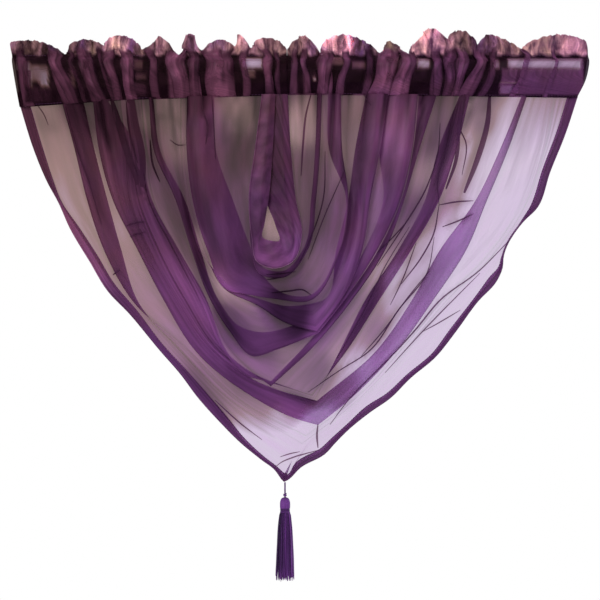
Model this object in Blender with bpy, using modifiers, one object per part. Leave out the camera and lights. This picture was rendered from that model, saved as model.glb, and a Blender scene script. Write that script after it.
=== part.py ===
"""A voile swag drape: one square of sheer cloth hung by two of its sides from a thin rod.

The two upper sides are gathered on the rod in a slot heading with a frill on top.
The unthreaded corner between them hangs in front as a loop, the cloth below falls in
uneven cowl folds, and a tassel hangs from the lowest corner.

Frame: origin on the rod's axis at its middle, +X to the right of somebody facing the
drape, -Y towards them, +Z up. Tables are in millimetres: x from the middle, drop down
from the rod's axis, depth along +Y (away from somebody facing the drape).
"""
import math
from collections import namedtuple

import bmesh
import bpy
import numpy as np

MM = 0.001

# ---- driving sizes (mm) -------------------------------------------------------------
ROD_LENGTH = 563.0
ROD_DIAMETER = 10.5
CLOTH = 1.1              # thickness of one layer in these solids
HEM_CLOTH = 2.2          # the turned hem: several layers together
HEM_WIDTH = 10.0
SEAM_GAP = 0.7           # free space between two sewn pieces
SLOT_HALF_DEPTH = 7.0    # slot cloth, out from the rod's axis
SLOT_TOP = 9.0           # height of the seam between slot and frill
SEAM_HALF = 1.4          # half the distance between the two layers at a seam
LEFT_END_X = -284.4      # left end of the heading at the rod's height
LEFT_END_LEAN = 0.15     # it leans outwards by this much of the height
RIGHT_END_X = 290.0      # right end, at its widest
RIGHT_END_CURVE = 0.008  # it curves inwards above and below that, by mm per square mm
RIGHT_END_WIDEST = 5.0   # height of its widest place
HEADING_CUT = 0.5        # half the gap between the two sides' headings
PINCH = 0.6              # how far the folds' depth is squeezed at the heading
PINCH_SHARE = 0.14       # share of a fold line over which it opens from that
BELLY = 16.0             # how far the middle of the drape hangs forward of the rod
BELLY_WIDTH = 170.0      # sideways reach of that
TIP_DROP = 417.0         # lowest corner of the cloth

# ---- steps of the sheets and of the curves ---------------------------------------------
STEPS_ALONG_HALF = 22    # panel, from the heading to the middle, on each side
HEADING_STEPS = 56
LOOP_STEPS = 26
CURVE_STEPS = 12
FRILL_CURVE_STEPS = 3

# ---- slot bottom, drop at a few places along the rod --------------------------------
SLOT_BOTTOM_X = (-288, -180, 0, 150, 289)
SLOT_BOTTOM_DROP = (40, 33, 28, 29, 31)

# ---- outer hem, from the left end of the heading to the tip and up to the right end --
# width is how much of the 10 mm hem faces the front: the hem twists where it is small.
HEM_NARROWEST = 1.5
HEM_TURN_DEPTH = 0.6     # share of the hidden width by which a twisted edge comes forward
HemRow = namedtuple("HemRow", "x drop width")
HEM_LEFT = (
    HemRow(-278, 41, 10), HemRow(-264, 85, 9), HemRow(-250, 118, 6),
    HemRow(-239, 138, 3), HemRow(-228, 163, 8), HemRow(-208, 197, 10),
    HemRow(-191, 225, 10), HemRow(-168, 249, 8), HemRow(-138, 285, 6),
    HemRow(-118, 308, 7), HemRow(-98, 335, 10), HemRow(-78, 357, 9),
    HemRow(-58, 377, 6), HemRow(-36, 395, 4), HemRow(-23, 405, 4), HemRow(-18, 412, 6),
)
HEM_TIP = HemRow(-14, TIP_DROP, 10)
HEM_RIGHT = (
    HemRow(-9, 414, 5), HemRow(2, 403, 7), HemRow(28, 388, 7), HemRow(37, 378, 6),
    HemRow(52, 363, 5), HemRow(72, 347, 7), HemRow(92, 333, 6), HemRow(112, 313, 5),
    HemRow(137, 292, 5), HemRow(157, 267, 6), HemRow(179, 237, 5), HemRow(199, 215, 8),
    HemRow(204, 203, 4), HemRow(205, 192, 2), HemRow(224, 158, 2), HemRow(239, 143, 7),
    HemRow(252, 107, 8), HemRow(267, 70, 9), HemRow(280, 31, 10),
)

# ---- fold lines, from the hem inwards ------------------------------------------------
# left and right hold x where the line leaves the slot and then at each of LEVELS, turn
# holds the (x, drop) points by which it passes from left to right, the last of them its
# middle, where it turns sharply if corner is true. depth and radius are given at the left
# shoulder, the middle and the right shoulder; a radius of 0 is a line with no fold.
LEVELS = (85, 135, 185, 235, 285, 335)
Fold = namedtuple("Fold", "name corner left turn right depth radius")
FOLDS = (
    Fold("tuck_back", True,
         (-215, -204, -191, -177, -161, -118, -68), ((4, 379),),
         (257, 247, 230, 199, 149, 107, 60), (10, 9.5, 2), (1.0, 0.6, 0.3)),
    Fold("tuck_front", True,
         (-236, -223, -211, -194, -166, -110, -58), ((8, 371),),
         (253, 243, 226, 194, 145, 103, 56), (-0.5, 7, 1), (1.0, 0.6, 0.3)),
    Fold("low_cowl_back", True,
         (-191, -160, -146, -119, -91, -72), ((-47, 313), (-20, 325), (19, 336)),
         (224, 202, 178, 142, 114, 79), (5, 13, 6), (1.2, 1.4, 1.2)),
    Fold("low_cowl_front", True,
         (-205, -199, -185, -160, -134, -103, -40), ((-16, 348), (2, 355), (20, 360)),
         (229, 210, 189, 168, 135, 99, 51), (-3, 2.5, -2), (1.2, 1.6, 1.2)),
    Fold("crease_back", True,
         (-178, -172, -168, -149, -121, -86), ((-53, 311), (-8, 328), (16, 336)),
         (162, 140, 127, 100, 67, 42), (-4, 6, 3.5), (0.2, 0.3, 1.0)),
    Fold("crease_front", True,
         (-172, -166, -159, -139, -112, -79), ((-48, 307), (-10, 322), (14, 330)),
         (172, 158, 141, 113, 81, 49), (-5, 3.5, -4.5), (0.2, 0.3, 1.0)),
    Fold("under_back", True,
         (-163, -157, -149, -124, -98), ((-75, 285), (-50, 311), (-27, 316)),
         (121, 115, 103, 80, 46, 3), (-3, 1, 1), (0.2, 0.8, 0.8)),
    Fold("under_front", True,
         (-157, -152, -144, -119, -92), ((-69, 283), (-44, 308), (-27, 321)),
         (139, 121, 106, 87, 54, 12), (-2, -2, -3), (0.2, 0.8, 0.8)),
    Fold("mid_cowl_back", True,
         (-145, -138, -113, -97, -79), ((-58, 261), (-36, 267), (-10, 262), (14, 252)),
         (87, 81, 85, 66, 34), (6, -2.5, 2.5), (1.2, 1.0, 1.2)),
    Fold("mid_cowl_front", True,
         (-149, -144, -122, -106, -87), ((-68, 266), (-45, 291), (-20, 284), (20, 268)),
         (120, 114, 102, 79, 46), (-6, -8, -7), (1.2, 1.4, 1.2)),
    Fold("pouch_back", True,
         (-117, -117, -111, -97), ((-68, 220), (-35, 235), (-10, 241), (12, 239)),
         (68, 57, 50, 38, 25), (-1, -2.5, 1.5), (0.2, 0.7, 1.0)),
    Fold("pouch_front", True,
         (-113, -114, -108, -93), ((-74, 223), (-39, 241), (-14, 257), (19, 267)),
         (90, 82, 72, 64, 43), (0, -12, -8), (0.2, 0.8, 1.0)),
    Fold("side_back", False,
         (-84, -82, -65, -46), ((-35, 210), (-15, 228), (9, 231)),
         (30, 31, 48, 40), (4, -7, -3), (1.2, 0.8, 0.8)),
    Fold("side_front", False,
         (-111, -111, -105, -90), ((-70, 225), (-53, 229), (-23, 234), (11, 236)),
         (43, 44, 50, 42), (-7, -15, -9), (1.2, 0.8, 0.8)),
    Fold("neck_back", False,
         (-34, -40, -44, -42), ((-34, 203), (-14, 206)),
         (19, 17, 13, 5), (0, -15, -6), (0.3, 0.8, 0.8)),
    Fold("neck_front", False,
         (-35, -41, -46, -46), ((-38, 209), (-14, 213)),
         (24, 22, 18, 10), (-2.5, -21, -10), (0.3, 0.8, 0.8)),
    Fold("loop_edge", False,
         (-32, -37), ((-38, 128), (-22, 130)),
         (-16, -13), (-5.5, -10, -4), (0, 0, 0)),
)
# quads between each fold line and the one before it
ACROSS_STEPS = (1, 3, 2, 4, 3, 3, 2, 3, 2, 3, 3, 3, 3, 3, 3, 4, 3, 2)

# ---- frill: height of its top edge at each crest and dip ------------------------------
FrillRow = namedtuple("FrillRow", "x height")
FRILL_LEFT = (
    FrillRow(-288, 22), FrillRow(-268, 24), FrillRow(-236, 9), FrillRow(-214, 25),
    FrillRow(-195, 19), FrillRow(-178, 29), FrillRow(-156, 16), FrillRow(-138, 28),
    FrillRow(-121, 10), FrillRow(-107, 31), FrillRow(-94, 14), FrillRow(-79, 25),
    FrillRow(-66, 19), FrillRow(-58, 31), FrillRow(-48, 17), FrillRow(-30, 27),
    FrillRow(-11, 15),
)
FRILL_RIGHT = (
    FrillRow(-11, 15), FrillRow(7, 29), FrillRow(20, 10), FrillRow(42, 30),
    FrillRow(79, 12), FrillRow(92, 23), FrillRow(112, 11), FrillRow(138, 36),
    FrillRow(151, 23), FrillRow(165, 34), FrillRow(180, 19), FrillRow(192, 30),
    FrillRow(224, 15), FrillRow(262, 30), FrillRow(289, 23),
)
FRILL_WAVE = 6.0         # the frill's crests lean this far forward, its dips back
FRILL_FULL_WAVE = 14.0   # where it stands at least this far above the slot
CREST_FROM = 20.0        # a frill row this high or higher is a crest
GATHER_BULGE = 4.5       # the slot's cloth stands off the rod by this much at a crest
SMALL_GATHER = 1.6       # and by this much at the small gathers between
SMALL_GATHER_PITCH = 13.0

# ---- section of the heading, from the back seam over the top to the front seam ---------
# y is pushed out by shares of the gathers' bulge and of the frill's wave; the height is
# made of shares of the slot's bottom, of the seam above the rod and of the frill's top.
SectionRow = namedtuple("SectionRow", "y bulge wave slot seam frill")
HEADING_SECTION = (
    SectionRow(SEAM_HALF, 0.3, 0, 1, 0, 0),
    SectionRow(0.75 * SLOT_HALF_DEPTH, 0.6, 0, 0.5, 0, 0),
    SectionRow(SLOT_HALF_DEPTH, 0.8, 0, 0, 0.1, 0),
    SectionRow(SEAM_HALF, 0, 0, 0, 1, 0),
    SectionRow(SEAM_HALF, 0, 0.7, 0, 0.45, 0.55),
    SectionRow(0, 0, 1, 0, 0, 1),
    SectionRow(-SEAM_HALF, 0, 0.7, 0, 0.45, 0.55),
    SectionRow(-SEAM_HALF, 0, 0, 0, 1, 0),
    SectionRow(-SLOT_HALF_DEPTH, -1, 0, 0, 0.1, 0),
    SectionRow(-0.75 * SLOT_HALF_DEPTH, -1, 0, 0.5, 0, 0),
    SectionRow(-SEAM_HALF, -0.5, 0, 1, 0, 0),
)

# ---- loop of unthreaded heading: outer edge (sewn to the panel), crease, free edge ----
LOOP_TOP_DROP = 30.0     # what is above this is let down to clear the slot
LoopRow = namedtuple("LoopRow", "outer crease free depth")
LOOP = (
    LoopRow((-36, 29), (-27, 29), (-22.5, 29), (-7.5, -10, -8.5)),
    LoopRow((-43, 85), (-32, 85), (-25, 85), (-12, -16, -13.5)),
    LoopRow((-49, 135), (-36, 135), (-29, 135), (-16.5, -21, -18.5)),
    LoopRow((-46, 172), (-37, 168), (-33, 160), (-21, -24.5, -21.5)),
    LoopRow((-40, 198), (-38, 185), (-35, 173), (-23.5, -26.5, -23.5)),
    LoopRow((-23, 204), (-22, 191), (-24, 177), (-24.5, -27.5, -24)),
    LoopRow((-5, 197), (-7, 186), (-19, 177), (-23.5, -26.5, -21)),
    LoopRow((4, 172), (-4, 168), (-22, 162), (-22.5, -26, -18.5)),
    LoopRow((-2, 135), (-11, 135), (-31, 138), (-18.5, -21.5, -13.5)),
    LoopRow((-7, 85), (-15, 85), (-30, 85), (-13, -15.5, -9)),
    LoopRow((-10, 29), (-15, 29), (-27, 29), (-6, -8, -4.5)),
)

# ---- tassel ---------------------------------------------------------------------------
TASSEL_X = -13.0
CORD_DROP = 417.4        # where its cord starts, just under the tip of the cloth
KNOT_DROP = 428.0
HEAD_DROP = 432.4
NECK_DROP = 445.5
SKIRT_DROP = 514.0
HEAD_RADIUS = 5.0
NECK_RADIUS = 4.4
CORD_RADIUS = 0.8
KNOT_RADIUS = 1.8
StrandRing = namedtuple("StrandRing", "count root_radius end_radius")
STRAND_RINGS = (
    StrandRing(22, 3.75, 9.2), StrandRing(14, 2.5, 6.3), StrandRing(8, 1.3, 3.5),
)
STRAND_ROOT = 0.34       # radius of a strand where it leaves the head
STRAND_END = 0.95        # and at its lower end
STRAND_SIDES = 4
STRAND_HIDDEN = 1.6      # length of it inside the head
ENDS_UNEVEN = 3.0


# ---- small tools ------------------------------------------------------------------------
def clear_scene():
    for obj in list(bpy.data.objects):
        bpy.data.objects.remove(obj, do_unlink=True)


def material(name, colour, roughness):
    mat = bpy.data.materials.new(name)
    mat.use_nodes = True
    shader = mat.node_tree.nodes["Principled BSDF"]
    shader.inputs["Base Color"].default_value = (*colour, 1.0)
    shader.inputs["Roughness"].default_value = roughness
    return mat


def hermite(start, end, start_slope, end_slope, t):
    """Cubic from start to end with the given slopes."""
    t2, t3 = t * t, t * t * t
    return ((2 * t3 - 3 * t2 + 1) * start + (t3 - 2 * t2 + t) * start_slope
            + (3 * t2 - 2 * t3) * end + (t3 - t2) * end_slope)


def smooth_step(value):
    value = np.clip(value, 0.0, 1.0)
    return value * value * (3.0 - 2.0 * value)


def smooth_curve(points, per_span):
    """A smooth curve through points, with per_span steps from each to the next."""
    points = np.asarray(points, float)
    gaps = np.linalg.norm(np.diff(points[:, :2], axis=0), axis=1)
    at = np.concatenate(([0.0], np.cumsum(gaps)))
    slopes = np.gradient(points, at, axis=0)
    t = np.linspace(0.0, 1.0, per_span, endpoint=False)[:, None]
    spans = [
        hermite(points[i], points[i + 1], slopes[i] * gaps[i], slopes[i + 1] * gaps[i], t)
        for i in range(len(gaps))
    ]
    return np.vstack(spans + [points[-1:]])


def spread(points, middle, steps_half, corner=False):
    """Even steps along a smooth curve, with points[middle], or a corner, at the middle step."""
    if corner:
        dense = np.vstack([smooth_curve(points[:middle + 1], CURVE_STEPS)[:-1],
                           smooth_curve(points[middle:], CURVE_STEPS)])
    else:
        dense = smooth_curve(points, CURVE_STEPS)
    lengths = np.linalg.norm(np.diff(dense[:, :2], axis=0), axis=1)
    run = np.concatenate(([0.0], np.cumsum(lengths)))
    half = run[middle * CURVE_STEPS]
    at = np.concatenate((np.linspace(0.0, half, steps_half + 1),
                         np.linspace(half, run[-1], steps_half + 1)[1:]))
    return np.stack([np.interp(at, run, dense[:, k]) for k in range(dense.shape[1])], axis=1)


def slot_bottom(x):
    return np.interp(x, SLOT_BOTTOM_X, SLOT_BOTTOM_DROP)


def to_frame(places):
    """Table places (x, drop, depth), let out by the belly, as x, y, z."""
    x, drop, depth = (places[..., k] for k in range(3))
    low = np.clip((drop - slot_bottom(x)) / (TIP_DROP - slot_bottom(x)), 0.0, 1.0)
    belly = BELLY * np.sin(math.pi * low) ** 2 * np.exp(-(x / BELLY_WIDTH) ** 2)
    return np.stack([x, depth - belly, -drop], axis=-1)


def sheet_object(name, places, thickness, mat, group=None):
    """A grid of places (rows, columns, xyz in mm) as a sheet with a real thickness."""
    rows, columns = places.shape[:2]
    grid = bmesh.new()
    bmesh.ops.create_grid(grid, x_segments=columns - 1, y_segments=rows - 1, size=0.5)
    grid.verts.ensure_lookup_table()
    for vert in grid.verts:
        column = round((vert.co.x + 0.5) * (columns - 1))
        row = round((vert.co.y + 0.5) * (rows - 1))
        vert.co = places[row, column] * MM
    mesh = bpy.data.meshes.new(name)
    grid.to_mesh(mesh)
    grid.free()
    obj = bpy.data.objects.new(name, mesh)
    obj.data.materials.append(mat)
    solid = obj.modifiers.new("thickness", "SOLIDIFY")
    solid.thickness = thickness * MM
    solid.offset = 0.0
    if group is not None:
        weights = obj.vertex_groups.new(name="layers")
        for vert in mesh.vertices:
            weights.add([vert.index], group(vert.co), "REPLACE")
        solid.vertex_group = "layers"
    mesh.shade_smooth()
    return obj


def turned(name, profile, steps, mat):
    """A turned piece from its (radius, drop) profile, listed from the top down."""
    mesh = bpy.data.meshes.new(name)
    points = [(radius * MM, 0.0, -drop * MM) for radius, drop in profile]
    edges = [(i, i + 1) for i in range(len(points) - 1)]
    mesh.from_pydata(points, edges, [])
    obj = bpy.data.objects.new(name, mesh)
    obj.data.materials.append(mat)
    screw = obj.modifiers.new("turn", "SCREW")
    screw.axis = "Z"
    screw.steps = screw.render_steps = steps
    screw.use_merge_vertices = True
    screw.merge_threshold = 0.00001
    return obj


# ---- the panel ----------------------------------------------------------------------------
def hem_lines():
    """The hem's outer edge and its inner line, as (steps, x drop depth)."""
    rows = HEM_LEFT + (HEM_TIP,) + HEM_RIGHT
    edge = spread(rows, len(HEM_LEFT), STEPS_ALONG_HALF)
    along = np.gradient(edge[:, :2], axis=0)
    along /= np.linalg.norm(along, axis=1)[:, None]
    inward = np.stack([along[:, 1], -along[:, 0]], axis=1)
    facing = np.clip(edge[:, 2], HEM_NARROWEST, HEM_WIDTH)
    turned_away = np.sqrt(HEM_WIDTH ** 2 - facing ** 2)
    inner = edge[:, :2] + inward * facing[:, None]
    outer = np.column_stack([edge[:, :2], -HEM_TURN_DEPTH * turned_away])
    return outer, np.column_stack([inner, np.zeros(len(inner))])


def fold_line(fold):
    """One fold line, as (steps, x drop depth radius)."""
    left = [(fold.left[0], slot_bottom(fold.left[0]) + SEAM_GAP)]
    left += list(zip(fold.left[1:], LEVELS))
    right = list(zip(fold.right[1:], LEVELS))[::-1]
    right += [(fold.right[0], slot_bottom(fold.right[0]) + SEAM_GAP)]
    points = left + list(fold.turn) + right
    middle = len(left) + len(fold.turn) - 1
    line = spread(points, middle, STEPS_ALONG_HALF, fold.corner)
    s = np.linspace(0.0, 1.0, 2 * STEPS_ALONG_HALF + 1)
    to_middle = smooth_step(np.minimum(s, 1.0 - s) / 0.5)
    opened = PINCH + (1.0 - PINCH) * smooth_step(np.minimum(s, 1.0 - s) / PINCH_SHARE)

    def blend(values):
        shoulder = np.where(s < 0.5, values[0], values[2])
        return shoulder + (values[1] - shoulder) * to_middle

    return np.column_stack([line, blend(fold.depth) * opened, blend(fold.radius)])


def across(start, end, t):
    """The cloth between two fold lines: round at each fold, nearly flat between."""
    length = np.linalg.norm(end[:, :2] - start[:, :2], axis=1)
    drift = end[:, 2] - start[:, 2]

    def slope(radius):
        return np.where(radius > 0, -np.sqrt(6.0 * radius * length), drift)

    start_speed = np.where(start[:, 3] > 0, 0.0, 1.0)
    end_speed = np.where(end[:, 3] > 0, 0.0, 1.0)
    share = hermite(0.0, 1.0, start_speed, end_speed, t)[:, None]
    flat = start[:, :2] + (end[:, :2] - start[:, :2]) * share
    depth = hermite(start[:, 2], end[:, 2], slope(start[:, 3]), slope(end[:, 3]), t)
    return np.column_stack([flat, depth])


def panel_places():
    outer, inner = hem_lines()
    unfolded = np.zeros((len(outer), 1))
    lines = [np.hstack([outer, unfolded]), np.hstack([inner, unfolded])]
    lines += [fold_line(fold) for fold in FOLDS]
    rows = [lines[0][:, :3]]
    for start, end, steps in zip(lines, lines[1:], ACROSS_STEPS):
        rows += [across(start, end, k / steps) for k in range(1, steps + 1)]
    places = np.array(rows)
    lowest_slot = slot_bottom(places[..., 0]) + SEAM_GAP
    places[..., 1] = np.maximum(places[..., 1], lowest_slot)
    return to_frame(places)


def make_panel(cloth):
    places = panel_places()
    hem = {tuple(np.round(place * MM, 6)) for place in places[:2].reshape(-1, 3)}

    def layers(co):
        return 1.0 if tuple(np.round(co, 6)) in hem else CLOTH / HEM_CLOTH

    return sheet_object("swag_panel", places, HEM_CLOTH, cloth, layers)


# ---- the gathered heading -------------------------------------------------------------------
def heading_places(frill, left_end, right_end):
    """The slot and frill on one side, from the back seam over the top to the front seam."""
    rows = smooth_curve([(row.x, row.height) for row in frill], FRILL_CURVE_STEPS)
    crest_or_dip = np.array([1.0 if row.height > CREST_FROM else -1.0 for row in frill])
    xs = np.array([row.x for row in frill], float)
    x = np.linspace(rows[0, 0], rows[-1, 0], HEADING_STEPS + 1)
    height = np.interp(x, rows[:, 0], rows[:, 1])
    lean = np.interp(x, xs, crest_or_dip)
    small = 0.5 - 0.5 * np.cos(2.0 * math.pi * x / SMALL_GATHER_PITCH)
    bulge = GATHER_BULGE * 0.5 * (1.0 + lean) + SMALL_GATHER * small
    wave = -FRILL_WAVE * lean * np.clip((height - SLOT_TOP) / FRILL_FULL_WAVE, 0.0, 1.0)
    share = (x - x[0]) / (x[-1] - x[0])
    places = []
    for row in HEADING_SECTION:
        y = row.y + row.bulge * bulge + row.wave * wave
        z = row.slot * -slot_bottom(x) + row.seam * SLOT_TOP + row.frill * height
        start, end = left_end(z), right_end(z)
        places.append(np.column_stack([start + (end - start) * share, y, z]))
    return np.array(places)


def make_headings(cloth):
    def left_end(z):
        return LEFT_END_X - LEFT_END_LEAN * z

    def left_cut(z):
        return np.full_like(z, FRILL_LEFT[-1].x - HEADING_CUT)

    def right_cut(z):
        return np.full_like(z, FRILL_RIGHT[0].x + HEADING_CUT)

    def right_end(z):
        return RIGHT_END_X - RIGHT_END_CURVE * (z - RIGHT_END_WIDEST) ** 2

    left = heading_places(FRILL_LEFT, left_end, left_cut)
    right = heading_places(FRILL_RIGHT, right_cut, right_end)
    return [sheet_object("heading_left", left, CLOTH, cloth),
            sheet_object("heading_right", right, CLOTH, cloth)]


# ---- the loop ----------------------------------------------------------------------------------
def make_loop(cloth):
    columns = [
        [(*row[k], row.depth[k]) for row in LOOP] for k in range(3)
    ]
    middle = len(LOOP) // 2
    outer, crease, free = (spread(points, middle, LOOP_STEPS // 2) for points in columns)
    rows = [outer, 0.4 * outer + 0.6 * crease, crease, 0.4 * free + 0.6 * crease, free]
    places = np.array(rows)
    places[..., 1] += SEAM_GAP * (places[..., 1] < LOOP_TOP_DROP)
    return sheet_object("heading_loop", to_frame(places), CLOTH, cloth)


# ---- rod, cord and tassel ------------------------------------------------------------------------
def make_rod(white):
    bpy.ops.mesh.primitive_cylinder_add(
        vertices=32, radius=0.5 * ROD_DIAMETER * MM, depth=ROD_LENGTH * MM,
        rotation=(0.0, math.radians(90.0), 0.0))
    rod = bpy.context.active_object
    rod.name = rod.data.name = "rod"
    rod.data.materials.append(white)
    return rod


def make_cord(thread):
    profile = [
        (0.0, CORD_DROP), (CORD_RADIUS, CORD_DROP), (CORD_RADIUS, KNOT_DROP),
        (KNOT_RADIUS, KNOT_DROP + 1.2), (KNOT_RADIUS, KNOT_DROP + 2.6),
        (CORD_RADIUS, KNOT_DROP + 4.0), (0.0, KNOT_DROP + 4.0),
    ]
    cord = turned("tassel_cord", profile, 12, thread)
    cord.location.x = TASSEL_X * MM
    return cord


def strands():
    """The skirt's strands, each a tapered lock that leans outwards from its root."""
    skirt = bmesh.new()
    root_drop = NECK_DROP - STRAND_HIDDEN
    for ring in STRAND_RINGS:
        for index in range(ring.count):
            angle = 2.0 * math.pi * (index + 0.5 * (ring.count % 4)) / ring.count
            uneven = ENDS_UNEVEN * math.sin(2.3 * index + ring.count)
            length = SKIRT_DROP + uneven - root_drop
            lock = bmesh.ops.create_cone(
                skirt, cap_ends=True, segments=STRAND_SIDES, radius1=STRAND_END,
                radius2=STRAND_ROOT, depth=length)["verts"]
            for vert in lock:
                down = min(1.0, max(0.0, 0.5 - vert.co.z / length))
                out = ring.root_radius + (ring.end_radius - ring.root_radius) * down ** 0.8
                turn = angle - math.pi / STRAND_SIDES
                across_x = vert.co.x * math.cos(turn) - vert.co.y * math.sin(turn)
                across_y = vert.co.x * math.sin(turn) + vert.co.y * math.cos(turn)
                vert.co.x = out * math.cos(angle) + across_x
                vert.co.y = out * math.sin(angle) + across_y
                vert.co.z = -root_drop - down * length
    bmesh.ops.scale(skirt, vec=(MM, MM, MM), verts=skirt.verts)
    mesh = bpy.data.meshes.new("strands")
    skirt.to_mesh(mesh)
    skirt.free()
    return bpy.data.objects.new("strands", mesh)


def make_tassel(thread):
    profile = [
        (0.0, HEAD_DROP), (2.6, HEAD_DROP + 0.4), (HEAD_RADIUS - 0.7, HEAD_DROP + 3.0),
        (HEAD_RADIUS, HEAD_DROP + 7.0), (HEAD_RADIUS - 0.2, NECK_DROP - 2.0),
        (NECK_RADIUS, NECK_DROP), (0.0, NECK_DROP),
    ]
    head = turned("tassel", profile, 20, thread)
    skirt = strands()
    skirt.hide_render = True
    skirt.display_type = "WIRE"
    join = head.modifiers.new("strands", "BOOLEAN")
    join.operation = "UNION"
    join.object = skirt
    for obj in (head, skirt):
        obj.location.x = TASSEL_X * MM
    return head, skirt


# ---- the whole drape ---------------------------------------------------------------------------------
def main():
    clear_scene()
    voile = material("voile", (0.20, 0.03, 0.26), 0.6)
    thread = material("tassel_thread", (0.07, 0.02, 0.16), 0.55)
    white = material("white_rod", (0.85, 0.84, 0.82), 0.35)
    drape = bpy.data.collections.new("swag_drape")
    guides = bpy.data.collections.new("cutters")
    for collection in (drape, guides):
        bpy.context.scene.collection.children.link(collection)
    tassel, skirt = make_tassel(thread)
    pieces = [make_rod(white), make_panel(voile), *make_headings(voile), make_loop(voile),
              make_cord(thread), tassel]
    for piece in pieces:
        for home in list(piece.users_collection):
            home.objects.unlink(piece)
        drape.objects.link(piece)
    guides.objects.link(skirt)


main()
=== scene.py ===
"""Looks of the voile swag drape: sheer gathered cloth on a white rod, with a tassel.

The cloth pieces are thin sheets on the same folds as their solids, cut much finer: turned
hems, gathers, creases and stitching are modelled, and the sheer cloth darkens where it
lies in several layers. Light and shade are painted on it too, place by place: in how much
it lets through and in how bright its colour is. Tables are in millimetres: x from the rod's
middle, drop down from its axis, depth along +Y (away from somebody facing the drape).
"""
import math
from collections import namedtuple

import bpy
import numpy as np
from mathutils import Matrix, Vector
from mathutils.bvhtree import BVHTree


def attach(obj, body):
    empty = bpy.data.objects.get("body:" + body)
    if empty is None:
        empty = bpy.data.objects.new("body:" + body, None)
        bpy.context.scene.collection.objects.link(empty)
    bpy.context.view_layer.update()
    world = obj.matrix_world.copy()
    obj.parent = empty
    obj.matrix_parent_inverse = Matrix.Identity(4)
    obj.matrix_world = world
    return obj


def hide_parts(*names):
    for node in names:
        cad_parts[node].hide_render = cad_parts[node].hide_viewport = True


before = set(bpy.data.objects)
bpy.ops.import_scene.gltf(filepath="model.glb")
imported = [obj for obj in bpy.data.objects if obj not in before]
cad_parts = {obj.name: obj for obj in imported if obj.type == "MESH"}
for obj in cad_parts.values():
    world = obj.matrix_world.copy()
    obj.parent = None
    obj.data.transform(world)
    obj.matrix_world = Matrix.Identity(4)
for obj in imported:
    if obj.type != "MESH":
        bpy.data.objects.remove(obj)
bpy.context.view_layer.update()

MM = 0.001
TURN = 2.0 * math.pi
BACK = np.array([0.0, 0.0, 1.0])    # away from the viewer, in (x, drop, depth)
RNG = np.random.default_rng(7)


def table(columns, rows):
    """Rows of plain values as tuples with named columns."""
    Row = namedtuple("Row", columns)
    return tuple(Row(*row) for row in rows)


# ---- driving sizes (mm), the same as the solids' ------------------------------------------
HEM_WIDTH = 10.0
SEAM_GAP = 0.7           # the panel's solid starts this far below the heading's
SLOT_HALF_DEPTH = 7.0    # slot cloth, out from the rod's axis
SLOT_TOP = 9.0           # height of the seam between slot and frill
SEAM_HALF = 1.4          # half the distance between the two layers at a seam
LEFT_END_X = -284.4      # left end of the heading at the rod's height
LEFT_END_LEAN = 0.15     # it leans outwards by this much of the height
RIGHT_END_X = 290.0      # right end, at its widest
RIGHT_END_CURVE = 0.008  # it curves inwards above and below that, by mm per square mm
RIGHT_END_WIDEST = 5.0   # height of its widest place
HEADING_CUT = 0.1        # half the gap between the two sides' headings
HEADING_OVERLAP = 0.5    # at the slot they pass each other by twice this
CUT_APART = 0.5          # one of them in front of the other by twice this
CUT_REACH = 6.0          # which fades out this far from the cut
PINCH = 0.6              # how far the folds' depth is squeezed at the heading
PINCH_SHARE = 0.14       # share of a fold line over which it opens from that
BELLY = 16.0             # how far the middle of the drape hangs forward of the rod
BELLY_WIDTH = 170.0      # sideways reach of that
TIP_DROP = 417.0         # lowest corner of the cloth
LAYER_GAP = 0.3          # between the layers of a turned edge

# ---- steps of the sheets and of the curves ---------------------------------------------
STEPS_ALONG_HALF = 110   # panel, from the heading to the middle, on each side
ACROSS_FINER = 5         # steps for each step of the solid, across the folds
HEADING_FINER = 4        # rows for each row of the heading's section
LOOP_STEPS = 120         # round the loop
CURVE_STEPS = 12         # from each point of a curve to the next
CREASE_STEPS = 40        # along a crease

# ---- slot bottom, drop at a few places along the rod --------------------------------
SLOT_BOTTOM_X = (-288, -180, 0, 150, 289)
SLOT_BOTTOM_DROP = (40, 33, 28, 29, 31)

# ---- outer hem, from the left end of the heading to the tip and up to the right end --
# width is how much of the 10 mm hem faces the front: the hem twists where it is small.
HEM_NARROWEST = 1.5
HEM_TURN_DEPTH = 0.6     # share of the hidden width by which a twisted edge comes forward
HEM = table("x drop width", (
    (-278, 41, 10), (-264, 85, 9), (-250, 118, 6), (-239, 138, 3), (-228, 163, 8), (-208, 197, 10),
    (-191, 225, 10), (-168, 249, 8), (-138, 285, 6), (-118, 308, 7), (-98, 335, 10), (-78, 357, 9),
    (-58, 377, 6), (-36, 395, 4), (-23, 405, 4), (-18, 412, 6),
    (-14, TIP_DROP, 10),
    (-9, 414, 5), (2, 403, 7), (28, 388, 7), (37, 378, 6), (52, 363, 5), (72, 347, 7),
    (92, 333, 6), (112, 313, 5), (137, 292, 5), (157, 267, 6), (179, 237, 5), (199, 215, 8),
    (204, 203, 4), (205, 192, 2), (224, 158, 2), (239, 143, 7), (252, 107, 8), (267, 70, 9),
    (280, 31, 10),
))
HEM_TIP_ROW = [row.drop for row in HEM].index(TIP_DROP)
# the hem's turns behind its front, from the raw edge on: share of its width, layers behind
HEM_TURNS = ((0.1, 2.5), (1.0, 3.0), (0.5, 2.0), (0.0, 1.0))

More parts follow.
